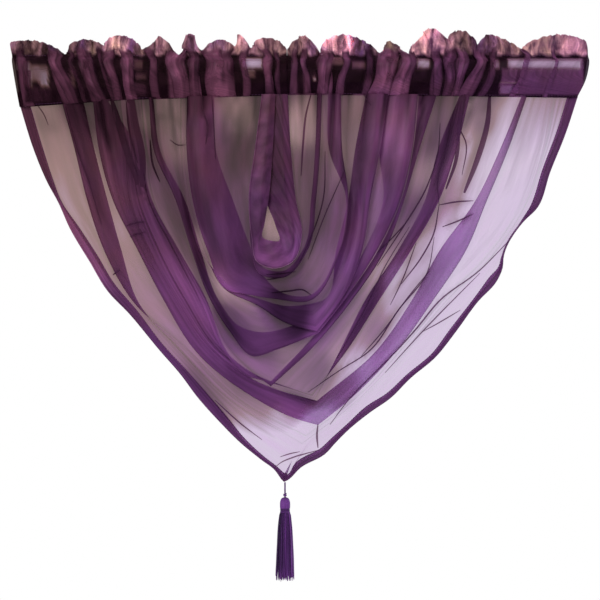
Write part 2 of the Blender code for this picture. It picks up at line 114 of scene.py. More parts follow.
# ---- fold lines, from the hem inwards ------------------------------------------------
# left and right hold x where the line leaves the slot and then at each of LEVELS, turn
# holds the (x, drop) points by which it passes from left to right, the last of them its
# middle, where it turns sharply if corner is true. depth and radius are given at the left
# shoulder, the middle and the right shoulder; a radius of 0 is a line with no fold.
LEVELS = (85, 135, 185, 235, 285, 335)
FOLDS = table("name corner left turn right depth radius", (
    ("tuck_back", True, (-215, -204, -191, -177, -161, -118, -68), ((4, 379),),
     (257, 247, 230, 199, 149, 107, 60), (10, 9.5, 2), (1, 0.6, 0.3)),
    ("tuck_front", True, (-236, -223, -211, -194, -166, -110, -58), ((8, 371),),
     (253, 243, 226, 194, 145, 103, 56), (-0.5, 7, 1), (1, 0.6, 0.3)),
    ("low_cowl_back", True, (-191, -160, -146, -119, -91, -72), ((-47, 313), (-20, 325), (19, 336)),
     (224, 202, 178, 142, 114, 79), (5, 13, 6), (1.2, 1.4, 1.2)),
    ("low_cowl_front", True, (-205, -199, -185, -160, -134, -103, -40),
     ((-16, 348), (2, 355), (20, 360)), (229, 210, 189, 168, 135, 99, 51), (-3, 2.5, -2),
     (1.2, 1.6, 1.2)),
    ("crease_back", True, (-178, -172, -168, -149, -121, -86), ((-53, 311), (-8, 328), (16, 336)),
     (162, 140, 127, 100, 67, 42), (-4, 6, 3.5), (0.2, 0.3, 1)),
    ("crease_front", True, (-172, -166, -159, -139, -112, -79), ((-48, 307), (-10, 322), (14, 330)),
     (172, 158, 141, 113, 81, 49), (-5, 3.5, -4.5), (0.2, 0.3, 1)),
    ("under_back", True, (-163, -157, -149, -124, -98), ((-75, 285), (-50, 311), (-27, 316)),
     (121, 115, 103, 80, 46, 3), (-3, 1, 1), (0.2, 0.8, 0.8)),
    ("under_front", True, (-157, -152, -144, -119, -92), ((-69, 283), (-44, 308), (-27, 321)),
     (139, 121, 106, 87, 54, 12), (-2, -2, -3), (0.2, 0.8, 0.8)),
    ("mid_cowl_back", True, (-145, -138, -113, -97, -79),
     ((-58, 261), (-36, 267), (-10, 262), (14, 252)), (87, 81, 85, 66, 34), (6, -2.5, 2.5),
     (1.2, 1, 1.2)),
    ("mid_cowl_front", True, (-149, -144, -122, -106, -87),
     ((-68, 266), (-45, 291), (-20, 284), (20, 268)), (120, 114, 102, 79, 46), (-6, -8, -7),
     (1.2, 1.4, 1.2)),
    ("pouch_back", True, (-117, -117, -111, -97), ((-68, 220), (-35, 235), (-10, 241), (12, 239)),
     (68, 57, 50, 38, 25), (-1, -2.5, 1.5), (0.2, 0.7, 1)),
    ("pouch_front", True, (-113, -114, -108, -93), ((-74, 223), (-39, 241), (-14, 257), (19, 267)),
     (90, 82, 72, 64, 43), (0, -12, -8), (0.2, 0.8, 1)),
    ("side_back", False, (-84, -82, -65, -46), ((-35, 210), (-15, 228), (9, 231)), (30, 31, 48, 40),
     (4, -7, -3), (1.2, 0.8, 0.8)),
    ("side_front", False, (-111, -111, -105, -90), ((-70, 225), (-53, 229), (-23, 234), (11, 236)),
     (43, 44, 50, 42), (-7, -15, -9), (1.2, 0.8, 0.8)),
    ("neck_back", False, (-34, -40, -44, -42), ((-34, 203), (-14, 206)), (19, 17, 13, 5),
     (0, -15, -6), (0.3, 0.8, 0.8)),
    ("neck_front", False, (-35, -41, -46, -46), ((-38, 209), (-14, 213)), (24, 22, 18, 10),
     (-2.5, -21, -10), (0.3, 0.8, 0.8)),
    ("loop_edge", False, (-32, -37), ((-38, 128), (-22, 130)), (-16, -13), (-5.5, -10, -4), (0, 0, 0)),
))
# quads between each fold line and the one before it
ACROSS_STEPS = (1, 3, 2, 4, 3, 3, 2, 3, 2, 3, 3, 3, 3, 3, 3, 4, 3, 2)

# ---- frill: height of its top edge at each crest and dip ------------------------------
FRILL_LEFT = table("x height", (
    (-288, 22), (-268, 24), (-236, 9), (-214, 25), (-195, 19), (-178, 29), (-156, 16), (-138, 28),
    (-121, 10), (-107, 31), (-94, 14), (-79, 25), (-66, 19), (-58, 31), (-48, 17), (-30, 27),
    (-11, 15),
))
FRILL_RIGHT = table("x height", (
    (-11, 15), (7, 29), (20, 10), (42, 30), (79, 12), (92, 23), (112, 11), (138, 36), (151, 23),
    (165, 34), (180, 19), (192, 30), (224, 15), (262, 30), (289, 23),
))
FRILL_WAVE = 6.0         # the frill's crests lean this far forward, its dips back
FRILL_FULL_WAVE = 14.0   # where it stands at least this far above the slot
CREST_FROM = 20.0        # a frill row higher than this is a crest
NARROW_CRESTS = (-138, -107, -58, 92)
NARROW, BROAD = 1.9, 0.7    # power of the sine that shapes a narrow and a broad crest
RUFFLE_PITCH = 8.5       # small ruffles on the frill's waves
RUFFLE_HEIGHT = 2.4

# ---- section of the heading, from the back's turned edge over the top to the front's ------
# y is pushed out by shares of the gathers' bulge and of the frill's wave, and by stack
# where gathers lie on each other; the height is made of shares of the slot's bottom, of
# the seam above the rod and of the frill's top, and of up.
HEADING_SECTION = table("y bulge wave slot seam frill up front stack", (
    (0.8, 0.3, 0, 0.9, 0, 0, 9, False, 0.3), (0.9, 0.3, 0, 1, 0, 0, 1, False, 0.3),
    (SEAM_HALF, 0.3, 0, 1, 0, 0, 0, False, 0.3),
    (0.75 * SLOT_HALF_DEPTH, 0.6, 0, 0.5, 0, 0, 0, False, 1),
    (SLOT_HALF_DEPTH, 0.8, 0, 0, 0.1, 0, 0, False, 1), (SEAM_HALF, 0, 0, 0, 1, 0, 0, False, 0.4),
    (SEAM_HALF, 0, 0.7, 0, 0.45, 0.55, 0, False, 0.7), (0, 0, 1, 0, 0, 1, 0, False, 0.2),
    (-SEAM_HALF, 0, 0.7, 0, 0.45, 0.55, 0, True, 0.7), (-SEAM_HALF, 0, 0, 0, 1, 0, 0, True, 0.4),
    (-SLOT_HALF_DEPTH, -1, 0, 0, 0.1, 0, 0, True, 1),
    (-0.75 * SLOT_HALF_DEPTH, -1, 0, 0.5, 0, 0, 0, True, 1),
    (-SEAM_HALF, -0.5, 0, 1, 0, 0, 0, True, 0.3), (-0.9, -0.5, 0, 1, 0, 0, 1, True, 0.3),
    (-0.8, -0.5, 0, 0.9, 0, 0, 9, True, 0.3),
))
HEADING_TURNED = 2       # rows of the section in each turned edge
HEADING_STITCHED = (9, 12)    # rows with a seam, on the front
GATHER_BULGE = 4.5       # the slot's cloth stands off the rod by this much at a crest
GATHER_STACK = 3.0       # and by this much in front of the layer behind
GATHER_FLARE = 5.0       # how far a gather fans out at the frill's top
GATHER_SETBACK = 2.0     # its left edge there lies this much further in
STRIP_BULGE = 1.5        # a gather bulges outwards by this much
SEAM_FILL = 2.5          # and its seam above the rod by this much more
WANDER = 2.0             # a gather's edges stray by this much
SMALL_PITCH = 9.0        # small gathers between and on the others
SMALL_HEIGHT = 0.7
HEADING_FLAT_END = 15.0  # no small gathers nearer than this to its ends

# ---- gathers of the heading: edges at the seam above the rod and at the slot's bottom, and tone, the painted light and shade on each ----
GATHERS_LEFT = table("seam_left seam_right low_left low_right tone", (
    (-283, -274, -283, -273, 0.75), (-250, -237, -237, -227, 0.95), (-231, -227, -222, -218, 0.35),
    (-222, -208, -208, -197, 0.9), (-200, -196, -193, -190, 0.4), (-195, -186, -189, -180, 0.95),
    (-179, -167, -177, -166, 1.15), (-150, -142, -151, -142, 0.8), (-132, -114, -127, -114, 1.4),
    (-111, -101, -111, -98, 0.65), (-94, -66, -94, -64, 1.15), (-58, -51, -56, -49, 0.8),
    (-36, -28, -33, -24, 1.3), (-24, -19, -22, -17, 0.5),
))
GATHERS_RIGHT = table("seam_left seam_right low_left low_right tone", (
    (-6, 0, -8, -1, 0.9), (4, 10, 8, 15, 0.9), (20, 34, 20, 36, 1.1), (44, 51, 40, 44, 1),
    (69, 76, 67, 73, 0.4), (80, 99, 72, 90, 1.35), (101, 116, 94, 117, 1.25),
    (134, 143, 139, 147, 0.9), (146, 157, 150, 158, 0.75), (158, 168, 160, 166, 1.2),
    (176, 188, 164, 176, 1.1), (192, 198, 188, 194, 0.6), (224, 230, 218, 225, 1),
    (253, 257, 253, 257, 1.1),
))
LEAST_TURN_STEPS = 8     # from one edge of a gather to the next
GATHER_STEP = 1.1        # which are about this far apart at most
FOLDED_GATHER = 9.0      # a gather wider than this has a fine fold painted along it
FOLD_AT, FOLD_LINE = 0.64, 1.3    # where its painted dark line lies across the gather, and its width
LIT_AT, LIT_LINE = 0.50, 1.8      # and the painted highlight beside it

# ---- creases pressed into the cloth -------------------------------------------------------
# line is the width of the sharp pinch along it, reach the half width of its soft ridge
# (height above 0) or trough (below 0), shade how much painted shade darkens the cloth in it;
# a shade below 0 is a painted highlight that brightens it.
CREASE_LIFT = 0.3        # of a pinch's ridge off the cloth
CREASE_TAPER = 0.6       # the lower this is, the blunter a crease's ends
CREASE_DIMS = 0.8        # how much a crease's shade takes from the light
CREASE_DENSITY = 0.6     # of a pinch
IN_FRONT = 400.0         # the place of a pinch is looked for from here
CREASE_LIGHT = 0.3       # light of a pinch, as a share of the cloth's there
CREASE_TONE = 0.85       # its tone, before its shade
CREASES = table("line reach height shade points", (
    (1.6, 3, 1, 0.25, ((214, 172), (202, 185), (182, 205), (142, 235), (117, 265), (97, 287),
     (77, 307), (52, 333), (32, 360))),
    (1.2, 3, -0.8, 0.25, ((182, 208), (124, 267), (87, 308))),
    (1.2, 3, -0.8, 0.25, ((162, 245), (142, 257), (124, 267))),
    (1.4, 4, -1.2, 0.35, ((142, 58), (140, 86), (129, 121), (105, 162), (79, 201))),
    (1.6, 3, 1.2, 0.3, ((141, 140), (158, 137), (175, 136))),
    (1.6, 3, 1.2, 0.3, ((144, 162), (160, 156), (175, 149))),
    (1.4, 4, -1.2, 0.35, ((161, 36), (148, 86), (139, 119), (141, 140))),
    (1.6, 3, 1, 0.3, ((141, 140), (135, 170), (124, 191), (103, 219))),
    (1.2, 3, -1, 0.3, ((131, 206), (113, 228), (87, 263))),
    (1.2, 3, -1, 0.35, ((111, 154), (96, 171), (79, 188))),
    (1, 4, -1, 0.35, ((111, 162), (87, 201), (68, 241), (39, 293))),
    (1.2, 4, -1, 0.3, ((111, 230), (87, 263), (63, 291))),
    (0, 6, -1.4, 0.35, ((181, 38), (180, 62), (174, 100), (168, 128))),
    (1.4, 3, 1, 0.3, ((168, 25), (164, 50), (162, 62), (168, 78), (164, 110))),
    (1.2, 3, 0.6, 0.3, ((-171, 161), (-162, 158), (-152, 157))),
    (1, 3, 0.6, 0.3, ((-168, 172), (-160, 169), (-152, 167))),
    (1.6, 2.5, 0.6, 0.3, ((-185, 210), (-181, 207), (-178, 205))),
    (1.3, 4, 0.8, 0.2, ((-83, 335), (-58, 358), (-36, 375))),
    (1.4, 3, 0.8, 0.2, ((-23, 402), (-16, 397), (-6, 393), (20, 385))),
    (1.2, 3, 0.6, 0.2, ((-18, 392), (-8, 389), (2, 387))),
    (2, 4, 1, 0.3, ((20, 359), (19, 371), (20, 383))),
    (0, 4, -1.6, 0.5, ((-68, 28), (-66, 50), (-60, 68), (-63, 82))),
    (0, 6, -1.6, 0.55, ((-51, 38), (-52, 58), (-61, 80), (-63, 100), (-56, 126))),
    (0, 5, -1.2, 0.45, ((-42, 34), (-44, 60), (-50, 90), (-47, 120))),
    (1, 3, -0.6, 0.4, ((64, 24), (68, 34), (73, 41))),
    (0, 6, -1.2, 0.4, ((60, 40), (52, 70), (49, 100), (56, 130))),
    (0, 5, -1, 0.35, ((12, 38), (9, 70), (11, 110), (18, 160))),
    (0, 8, -1.6, 0.35, ((-262, 42), (-248, 62), (-238, 58))),
    (1, 3, 0.8, 0.3, ((-262, 38), (-254, 50), (-250, 60))),
    (1.2, 3, -0.8, 0.45, ((-31, 210), (-16, 209), (-2, 207))),
    (1.2, 3, -0.8, 0.4, ((-31, 215), (-24, 214), (-17, 213))),
    (1.6, 4, -0.8, 0.5, ((-26, 228), (-8, 226), (5, 225), (13, 230))),
    (1.2, 4, -1, 0.4, ((27, 87), (25, 135), (12, 175), (2, 197))),
    (1, 4, -1, 0.35, ((47, 105), (27, 150), (10, 195))),
    (2, 3, -1, 0.5, ((-148, 75), (-145, 100), (-138, 117))),
    (0, 7, -1.6, 0.22, ((-198, 45), (-180, 85), (-148, 145), (-133, 175))),
    (0, 4, -1.5, 0.6, ((-203, 38), (-196, 60), (-185, 88))),
    (0, 6, -1.2, 0.35, ((-63, 95), (-48, 150), (-34, 190), (-15, 208))),
    (0, 7, -1.4, 0.1, ((-226, 60), (-208, 110), (-190, 160))),
    (0, 7, 1.6, -0.3, ((-95, 45), (-92, 90), (-80, 150), (-62, 205))),
    (0, 8, 1.6, -0.3, ((-170, 90), (-140, 170), (-100, 240), (-45, 310))),
    (0, 7, 1.6, -0.1, ((104, 45), (100, 100), (84, 160), (60, 215))),
    (0, 6, 1.2, -0.1, ((84, 60), (72, 110), (58, 170), (40, 230))),
    (1.4, 3, -1, 0.3, ((-97, 28), (-95, 45), (-90, 62), (-92, 80))),
    (1.2, 3, -1, 0.3, ((-86, 30), (-84, 60), (-82, 95))),
    (1.2, 3, -1, 0.45, ((-184, 36), (-176, 60), (-166, 95), (-150, 130))),
    (1, 3, -1, 0.4, ((-232, 42), (-222, 80), (-208, 120), (-196, 160))),
    (5.5, 5, 2, 0.2, ((192, 26), (189, 60), (179, 95), (166, 128))),
    (4, 4, 1.5, 0.15, ((165, 26), (161, 60), (158, 95), (148, 124))),
    (2, 3, 1, 0.1, ((14, 26), (8, 50), (5, 80), (3, 112))),
    (0, 6, -1.4, 0.45, ((-149, 66), (-138, 52), (-125, 54), (-114, 66))),
    (1, 4, -1, 0.4, ((-128, 75), (-120, 80), (-112, 80))),
    (0, 4, -1, 0.5, ((85, 213), (72, 240), (58, 265), (42, 292))),
    (12, 5, 1, 0.32, ((-168, 24), (-165, 58), (-158, 90), (-155, 122))),
    (7, 5, 1, 0.38, ((-187, 32), (-178, 62), (-168, 95), (-160, 120))),
    (1.2, 3, -1, 0.5, ((-172, 34), (-169, 64), (-160, 98))),
    (0, 5, -1, 0.6, ((-103, 180), (-92, 215), (-74, 250), (-58, 273), (-38, 288))),
    (0, 5, -0.6, 0.5, ((-20, 322), (-8, 328), (6, 333), (20, 338))),
    (0, 3, 0.5, -0.6, ((-85, 205), (-70, 222), (-45, 240), (-22, 262))),
    (0, 5, 0.6, -0.9, ((80, 100), (81, 130), (76, 160))),
    (1.4, 3, -1, 0.35, ((136, 172), (129, 207), (100, 245), (72, 285), (42, 305), (10, 327))),
    (1.2, 3, -0.8, 0.4, ((118, 178), (104, 215), (92, 240))),
    (0, 5, -0.8, 0.5, ((-115, 300), (-83, 335), (-62, 362))),
    (0, 5, -1.2, 0.4, ((-52, 36), (-54, 55), (-64, 72), (-74, 80))),
    (0, 7, -1.6, 0.4, ((-150, 34), (-149, 60), (-138, 92))),
    (0, 6, -1.4, 0.4, ((-137, 34), (-128, 55), (-122, 90))),
))

# ---- pleats below the heading: they follow the folds, and painted shade darkens their troughs ---
GATHER_HEIGHT = 2.0      # of the pleats, and of the slack cloth's ripple below
SLACK_HEIGHT = 0.45
GATHER_REACH = 60.0      # how far down the pleats die out
GATHER_START = 12.0      # how far below the slot they are full
SLACK_START = 60.0       # and the slack is
PLEAT_PITCH = 17.0
FINE_PITCH = 8.3
CONVERGE = 0.85          # how far the folds have drawn together at the tip
CENTRE_X = -15.0
LOOP_CLEAR = 45.0        # the cloth stays plain this near to the loop's middle
PLEAT_TONE = 0.75        # how much painted shade darkens the pleats' troughs at the slot
PLEAT_TONE_REACH = 55.0
PLEATED = (-225.0, 190.0)    # where they are, fading out over PLEATED_SOFT
PLEATED_SOFT = 40.0

# ---- light and shade over the drape ---------------------------------------------------------
# light is how much a layer lets through, from none (0; below 0, painted shade carried as denser
# cloth) to plenty (1): it paints the light and shade of a wall seen through the cloth; tone is how
# bright the cloth's own colour is, with light and shade painted into it, and painted highlights on
# the frill's crests; reach how far a row counts.
SHADES = table("x drop reach light tone", (
    (-250, 58, 30, 0.25, 0.9), (-236, 100, 35, 0.5, 1.1), (-215, 145, 35, 0.6, 1.1),
    (-202, 135, 14, 0.3, 1.5), (-190, 195, 35, 0.5, 1.1), (-160, 185, 30, 0.45, 1.1),
    (-135, 240, 30, 0.32, 1.5), (-222, 42, 14, -0.9, 0.1), (-190, 45, 16, 0, 0.4),
    (-188, 70, 18, 0, 0.9), (-168, 112, 20, 0.1, 1.3), (-150, 45, 16, 0, 0.6),
    (-148, 85, 20, 0, 0.9), (-152, 55, 7, 0.35, 1.6), (-148, 165, 14, 0.1, 0.7),
    (-120, 130, 25, 0, 0.8), (-130, 44, 12, 0.3, 0.9), (-124, 80, 12, 0.3, 1.15),
    (-98, 178, 8, 0.5, 1.6), (-108, 180, 22, 0, 0.65), (-118, 225, 20, 0.2, 2.4),
    (-85, 275, 24, 0.3, 1.9), (-91, 220, 10, 0, 0.7), (-68, 259, 14, -0.8, 0.1),
    (-42, 302, 16, 0.02, 1.2), (-60, 238, 12, 0.35, 1.6), (-40, 322, 16, 0.3, 1.7),
    (-85, 333, 20, 0.08, 1.4), (-88, 65, 20, 0, 1.25), (-76, 120, 24, 0, 1),
    (-62, 165, 20, 0, 1.2), (-58, 196, 12, 0, 0.85), (-38, 212, 16, 0.05, 1.2),
    (-76, 220, 14, 0.7, 1.7), (-48, 262, 14, 0.1, 1.4), (-66, 45, 12, 0.35, 1.2),
    (-66, 95, 16, 0, 0.7), (-58, 135, 16, 0.08, 0.9), (-48, 175, 14, 0, 0.8),
    # rows at (-42, 196), (-22, 206) and (-2, 198): a painted shadow under the loop's foot
    (-20, 227, 13, -0.7, 0.2), (2, 220, 14, 0.04, 0.9), (-42, 196, 5, -0.5, 0.5),
    (-22, 206, 6, -0.6, 0.25), (-2, 198, 5, -0.5, 0.4), (2, 254, 9, -0.3, 0.3),
    (24, 205, 16, 0.14, 0.8), (8, 55, 12, 0.5, 1.3), (14, 115, 18, 0.05, 0.8),
    (22, 165, 16, 0, 0.8), (35, 50, 12, 0, 1.5), (56, 50, 14, 0.2, 1), (55, 88, 16, 0.25, 1),
    (66, 118, 18, 0, 1), (52, 165, 18, 0, 1.5), (36, 215, 16, 0, 2.4), (24, 256, 12, 0, 2.1),
    (102, 55, 18, 0, 2.5), (97, 75, 14, 0.08, 3.3), (97, 105, 18, 0, 1.25), (80, 165, 20, 0, 1.4),
    (52, 225, 18, 0.05, 1.1), (124, 62, 14, 0.16, 0.8), (142, 75, 16, 0, 0.8),
    (128, 110, 12, 0.5, 1.2), (120, 142, 16, 0, 1), (88, 205, 20, 0.8, 1.2),
    (102, 176, 12, 0.05, 1), (52, 270, 14, 0.6, 1.5), (40, 260, 10, 0.1, 1.2),
    (20, 322, 16, 0, 0.9), (168, 50, 16, 0.35, 1.1), (155, 130, 20, 0.5, 1.2),
    (168, 84, 14, 0.8, 1.5), (152, 136, 10, 0.25, 1.3), (125, 210, 22, 0.65, 1),
    (72, 238, 12, 0.3, 0.9), (56, 266, 10, 0.3, 1), (45, 328, 14, 0.45, 1.3),
    (190, 115, 20, 1.1, 1.4), (187, 58, 8, 0.15, 1), (158, 185, 22, 0.9, 1.8),
    (110, 255, 24, 0.7, 1.3), (80, 266, 12, 0, 1), (124, 244, 12, 0.75, 1.8),
    (84, 295, 12, 0.7, 1.8), (48, 330, 12, 0.6, 1.6), (232, 45, 24, 0.7, 1),
    (215, 90, 35, 0.95, 1.1), (190, 170, 40, 1, 1.1), (150, 240, 40, 1.25, 1.1),
    (90, 320, 40, 1.25, 1.1), (10, 380, 30, 1.6, 1.1), (-48, 374, 24, 1.5, 1.15),
    (-76, 332, 14, 0.3, 1.2), (-57, 335, 18, 0, 0.95), (-38, 346, 12, 0.35, 1.2),
    (-20, 362, 12, 0.75, 1.1), (2, 308, 18, 0.25, 1.1), (-170, 42, 9, -0.4, 1.5),
    (-165, 72, 8, -0.4, 1.4), (-159, 97, 9, -0.4, 0.75), (-3, 345, 12, 0.1, 2.2),
    # rows from (-260, -22) on: painted highlights and shade on the frill; from (-240, 15) on: on the
    # heading
    (-98, 145, 9, 0, 0.6), (-29, 163, 8, 0.55, 1), (-260, -22, 10, 0, 0.72),
    (-213, -25, 10, 0, 1.1), (-178, -25, 10, 0, 3.6), (-153, -25, 8, 0, 0.8),
    (-136, -25, 6, 0, 1.8), (-106, -25, 8, 0, 1.7), (-76, -25, 10, 0, 1.4), (-58, -25, 6, 0, 2),
    (-35, -25, 12, 0, 1.7), (5, -25, 10, 0, 1.6), (38, -25, 12, 0, 4.4), (48, -25, 8, 0, 5.5),
    (64, -25, 8, 0, 0.8), (90, -25, 10, 0, 0.7), (132, -23, 12, 0, 3.4), (145, -25, 8, 0, 2.4),
    (170, -25, 12, 0, 0.75), (198, -25, 12, 0, 1.5), (232, -25, 12, 0, 1.9),
    (258, -25, 16, 0, 2.8), (-240, 15, 24, 0.3, 0.5), (-205, 18, 20, 0, 0.28),
    (-170, 18, 20, 0, 0.5), (-128, 15, 18, 0, 0.42), (-80, 10, 16, 0, 1), (-28, 12, 18, 0, 0.5),
    (20, 15, 20, 0, 0.65), (47, 19, 9, 0, 0.4), (88, 15, 18, 0, 1.2), (114, 18, 14, 0, 0.8),
    (130, 23, 9, 0, 0.4), (155, 8, 22, 0, 0.55), (190, 18, 16, 0, 0.55), (245, 15, 26, 0.2, 1.2),
))
SHADE_LEAST = 0.000001   # what a row counts from afar
SHADE_ALONG = 0.65       # a row reaches further along the folds than across them
FRILL_SHADE_DROP = -25.0    # the frill's tone, with its painted highlights and shade, is that of this drop
FRILL_LIGHT = 0.2
FRILL_RISE = 4.0         # height over which the slot's looks become the frill's
LIGHT_MOST = 1.8
HEM_DENSITY = 0.8        # of the turned edges
HEM_THINNED = 0.8        # this share of it is missing where the hem is pale
HEM_LIGHT_MOST = 0.8
HEM_SHADE = 0.35         # the hem's light, as a share of the panel's there
HEM_PALE = 0.9           # the same on the left, where it lies open
PALE_DROPS = (135.0, 220.0)    # between these drops, fading out over PALE_SOFT
PALE_SOFT = 30.0
PALE_UP_TO_X = -150.0
HEADING_LIGHT = 0.02
HEADING_BRIGHT = 1.5
UNDER_DROP = 6.0         # the slot's foot takes its tone from the panel this far below it
FOOT_FROM, FOOT_OVER = 0.45, 0.3    # from this share of the way down, over this much
FOOT_SHARE = 0.8         # as far as this
CRACK_TONE = 0.10        # painted shade between the heading's gathers: tone as a share of theirs
STRIP_SOFT = 1.2         # softness of a gather's edges
STRIP_EDGE = 0.25        # tone at a gather's edges, as a share of its middle's: painted shade rounds it
EDGE_LINE = 1.2          # width of the line of painted shade along a fold
EDGE_DARK = 0.75         # how much painted shade darkens it
# colour of the frill along it: violet (0), pink (0.5), gold-brown (1)
FRILL_HUES = table("x hue", (
    (-286, 0.3), (-274, 0.9), (-262, 0.8), (-250, 0.2), (-238, 0.4), (-226, 0.7), (-214, 0.1),
    (-205, 0.9), (-195, 0.3), (-183, 0.9), (-174, 0.7), (-167, 0), (-155, 0.7), (-138, 0.5),
    (-126, 0.9), (-108, 0.2), (-95, 0.6), (-80, 0.2), (-68, 0.6), (-40, 0.5), (-20, 0.7), (2, 0.8),
    (14, 0.2), (28, 0.6), (48, 0.6), (60, 0.1), (74, 0.2), (90, 0.9), (106, 0.4), (122, 0.8),
    (138, 0.4), (150, 0.5), (168, 0.8), (180, 0), (192, 0.2), (208, 0.8), (226, 0.7), (248, 0.9),
    (266, 0.5), (288, 0.4),
))

# ---- where the heading is sheerest: between gathers, with the rod or the wall behind; some bring painted light, some painted shade ------
WINDOWS = table("left right top low light tone", (
    (-273, -266, -3, 21, 0.75, 0.5), (-267, -257, 0, 15, 0.6, 0.5), (-258, -249, 3, 22, 0.75, 0.5),
    (-227, -223, 3, 20, 0.35, 0.5), (-214, -207, -4, 4, 0.35, 0.5), (-165, -155, -5, 5, 0.35, 0.5),
    (-162, -152, 8, 14, 0.3, 0.6), (-81, -74, -5, 4, 0.7, 1), (-56, -36, -7, 5, 1.1, 1),
    (-53, -43, 4, 12, 0.45, 0.6), (34, 45, -8, 0, 0.45, 0.7), (54, 67, -3, 5, 0.5, 0.7),
    (15, 18, 11, 17, 0.9, 0.8), (-83, -70, 20, 32, 0.35, 2.2), (-272, -246, 22, 38, 0.02, 0.25),
    (-168, -152, 18, 30, 0.05, 0.5), (87, 100, -8, -2, 0.42, 0.9), (88, 92, 10, 15, 0.8, 0.8),
    (119, 131, -6, 4, 0.95, 0.9), (148, 153, -2, 3, 0.4, 0.6), (194, 200, -5, 5, 0.95, 1),
    (209, 284, -6, 4, 0.95, 0.9), (240, 250, 4, 10, 0.5, 1), (203, 284, 5, 30, 0.08, 1.05),
    (201, 221, 19, 30, 0.9, 1),
))
WINDOW_SOFT = 2.0        # softness of their edges

# ---- loop of unthreaded heading: outer edge (sewn to the panel), crease, free edge ----
LOOP = table("outer crease free depth", (
    ((-36, 29), (-27, 29), (-22.5, 29), (-7.5, -10, -8.5)),
    ((-43, 85), (-32, 85), (-25, 85), (-12, -16, -13.5)),
    ((-49, 135), (-36, 135), (-29, 135), (-16.5, -21, -18.5)),
    ((-46, 172), (-37, 168), (-33, 160), (-21, -24.5, -21.5)),
    ((-40, 198), (-38, 185), (-35, 173), (-23.5, -26.5, -23.5)),
    ((-23, 204), (-22, 191), (-24, 177), (-24.5, -27.5, -24)),
    ((-5, 197), (-7, 186), (-19, 177), (-23.5, -26.5, -21)),
    ((4, 172), (-4, 168), (-22, 162), (-22.5, -26, -18.5)),
    ((-2, 135), (-11, 135), (-31, 138), (-18.5, -21.5, -13.5)),
    ((-7, 85), (-15, 85), (-30, 85), (-13, -15.5, -9)),
    ((-10, 29), (-15, 29), (-27, 29), (-6, -8, -4.5)),
))
LOOP_TOP_DROP = 30.0     # what is above this is let down to clear the slot
LOOP_SIDE_STEPS = 6      # rows from each edge of the loop to the next
LOOP_MID_ROW = 15.0      # row in the middle of its front leg
LOOP_HALF_ROWS = 3.5     # from there to where the leg's painted shade is darkest
LOOP_INNER_TONE = 0.8    # from the crease to the free edge: painted shade inside the loop
LOOP_DENSITY = 0.6
LOOP_FOOT = 0.09         # share of its length that its foot takes
# painted light and shade down the left leg (run 0), round the foot (0.5) and up the right leg (1)
LOOP_TONES = table("run tone", (
    (0, 1.15), (0.25, 1.1), (0.33, 1.05), (0.39, 0.8), (0.44, 1.5), (0.5, 2.05), (0.56, 1.8),
    (0.62, 1.3), (0.74, 0.75), (0.86, 0.9), (1, 0.9),
))

# ---- tassel ---------------------------------------------------------------------------
TASSEL_X = -13.0
CORD_DROP = 417.4        # where its cord starts, just under the tip of the cloth
KNOT_DROP = 428.0
HEAD_DROP = 432.4
NECK_DROP = 445.5
SKIRT_DROP = 514.0
CORD_PLIES = 3
CORD_TURNS = 3.2
PLY_RADIUS = 0.42
KNOT_TILTS = (0.5, -0.4, 0.25)    # of its turns, up at one side
KNOT_RADIUS = 1.25
KNOT_THICK = 0.55
KNOT_PITCH = 0.9         # from one turn to the next
# radius and drop down the outline of its head
HEAD_PROFILE = ((1.2, HEAD_DROP), (3.4, HEAD_DROP + 1.1), (4.8, HEAD_DROP + 4.5),
                (5.0, HEAD_DROP + 7.6), (4.7, NECK_DROP - 2.0), (3.9, NECK_DROP + 0.4))
HEAD_STEPS = 5           # from each of these to the next
HEAD_THREADS = 44
HEAD_SWING = 0.25        # radians that the head's threads turn from its top to the neck
HEAD_SUNK = 0.38         # the threads' middles lie this far inside the head's outline
NECK_RADIUS = 4.4
NECK_TURNS = 5
NECK_PITCH = 0.8
NECK_THREAD = 0.45
SKIRT_STRANDS = 170
SKIRT_RADIUS = 9.8
SKIRT_FLARE = 0.42       # the lower this is, the sooner the skirt is wide
STRAND_STEPS = 13
STRAND_SWAY = 0.35
STRAND_TURN = 0.06       # radians round the tassel for each mm of sway
ENDS_UNEVEN = 3.0
GOLDEN_ANGLE = 2.399963

# ---- stitching --------------------------------------------------------------------------
STITCH_PITCH = 2.8
STITCH_LIFT = 0.3
STITCH_SECTION = ((0.0, 0.06), (0.25, 0.2), (0.75, 0.2), (1.0, 0.06))    # share, radius
STITCH_TONE = 0.4
SHORTEST_RUN = 6         # steps of a seam that shows between two gathers
LEAST_STITCHES = 3.0     # on a line, or it has none
LEAST_STITCH = 0.3       # of the pitch; shorter ones are left out


# ---- small tools ------------------------------------------------------------------------
def hermite(start, end, start_slope, end_slope, t):
    """Cubic from start to end with the given slopes."""
    t2, t3 = t * t, t * t * t
    return ((2 * t3 - 3 * t2 + 1) * start + (t3 - 2 * t2 + t) * start_slope
            + (3 * t2 - 2 * t3) * end + (t3 - t2) * end_slope)


def smooth_step(value):
    value = np.clip(value, 0.0, 1.0)
    return value * value * (3.0 - 2.0 * value)


def within(value, low, high, soft):
    """1 between low and high, fading to 0 over soft at each side."""
    return smooth_step((value - low) / soft + 0.5) * smooth_step((high - value) / soft + 0.5)


def bell(value, width):
    """1 where value is 0, falling away over about width at each side."""
    return np.exp(-(value / width) ** 2)


def lengths_along(points):
    """Distance along points, from 0 at the first of them."""
    return np.concatenate(([0.0], np.cumsum(np.linalg.norm(np.diff(points, axis=0), axis=1))))


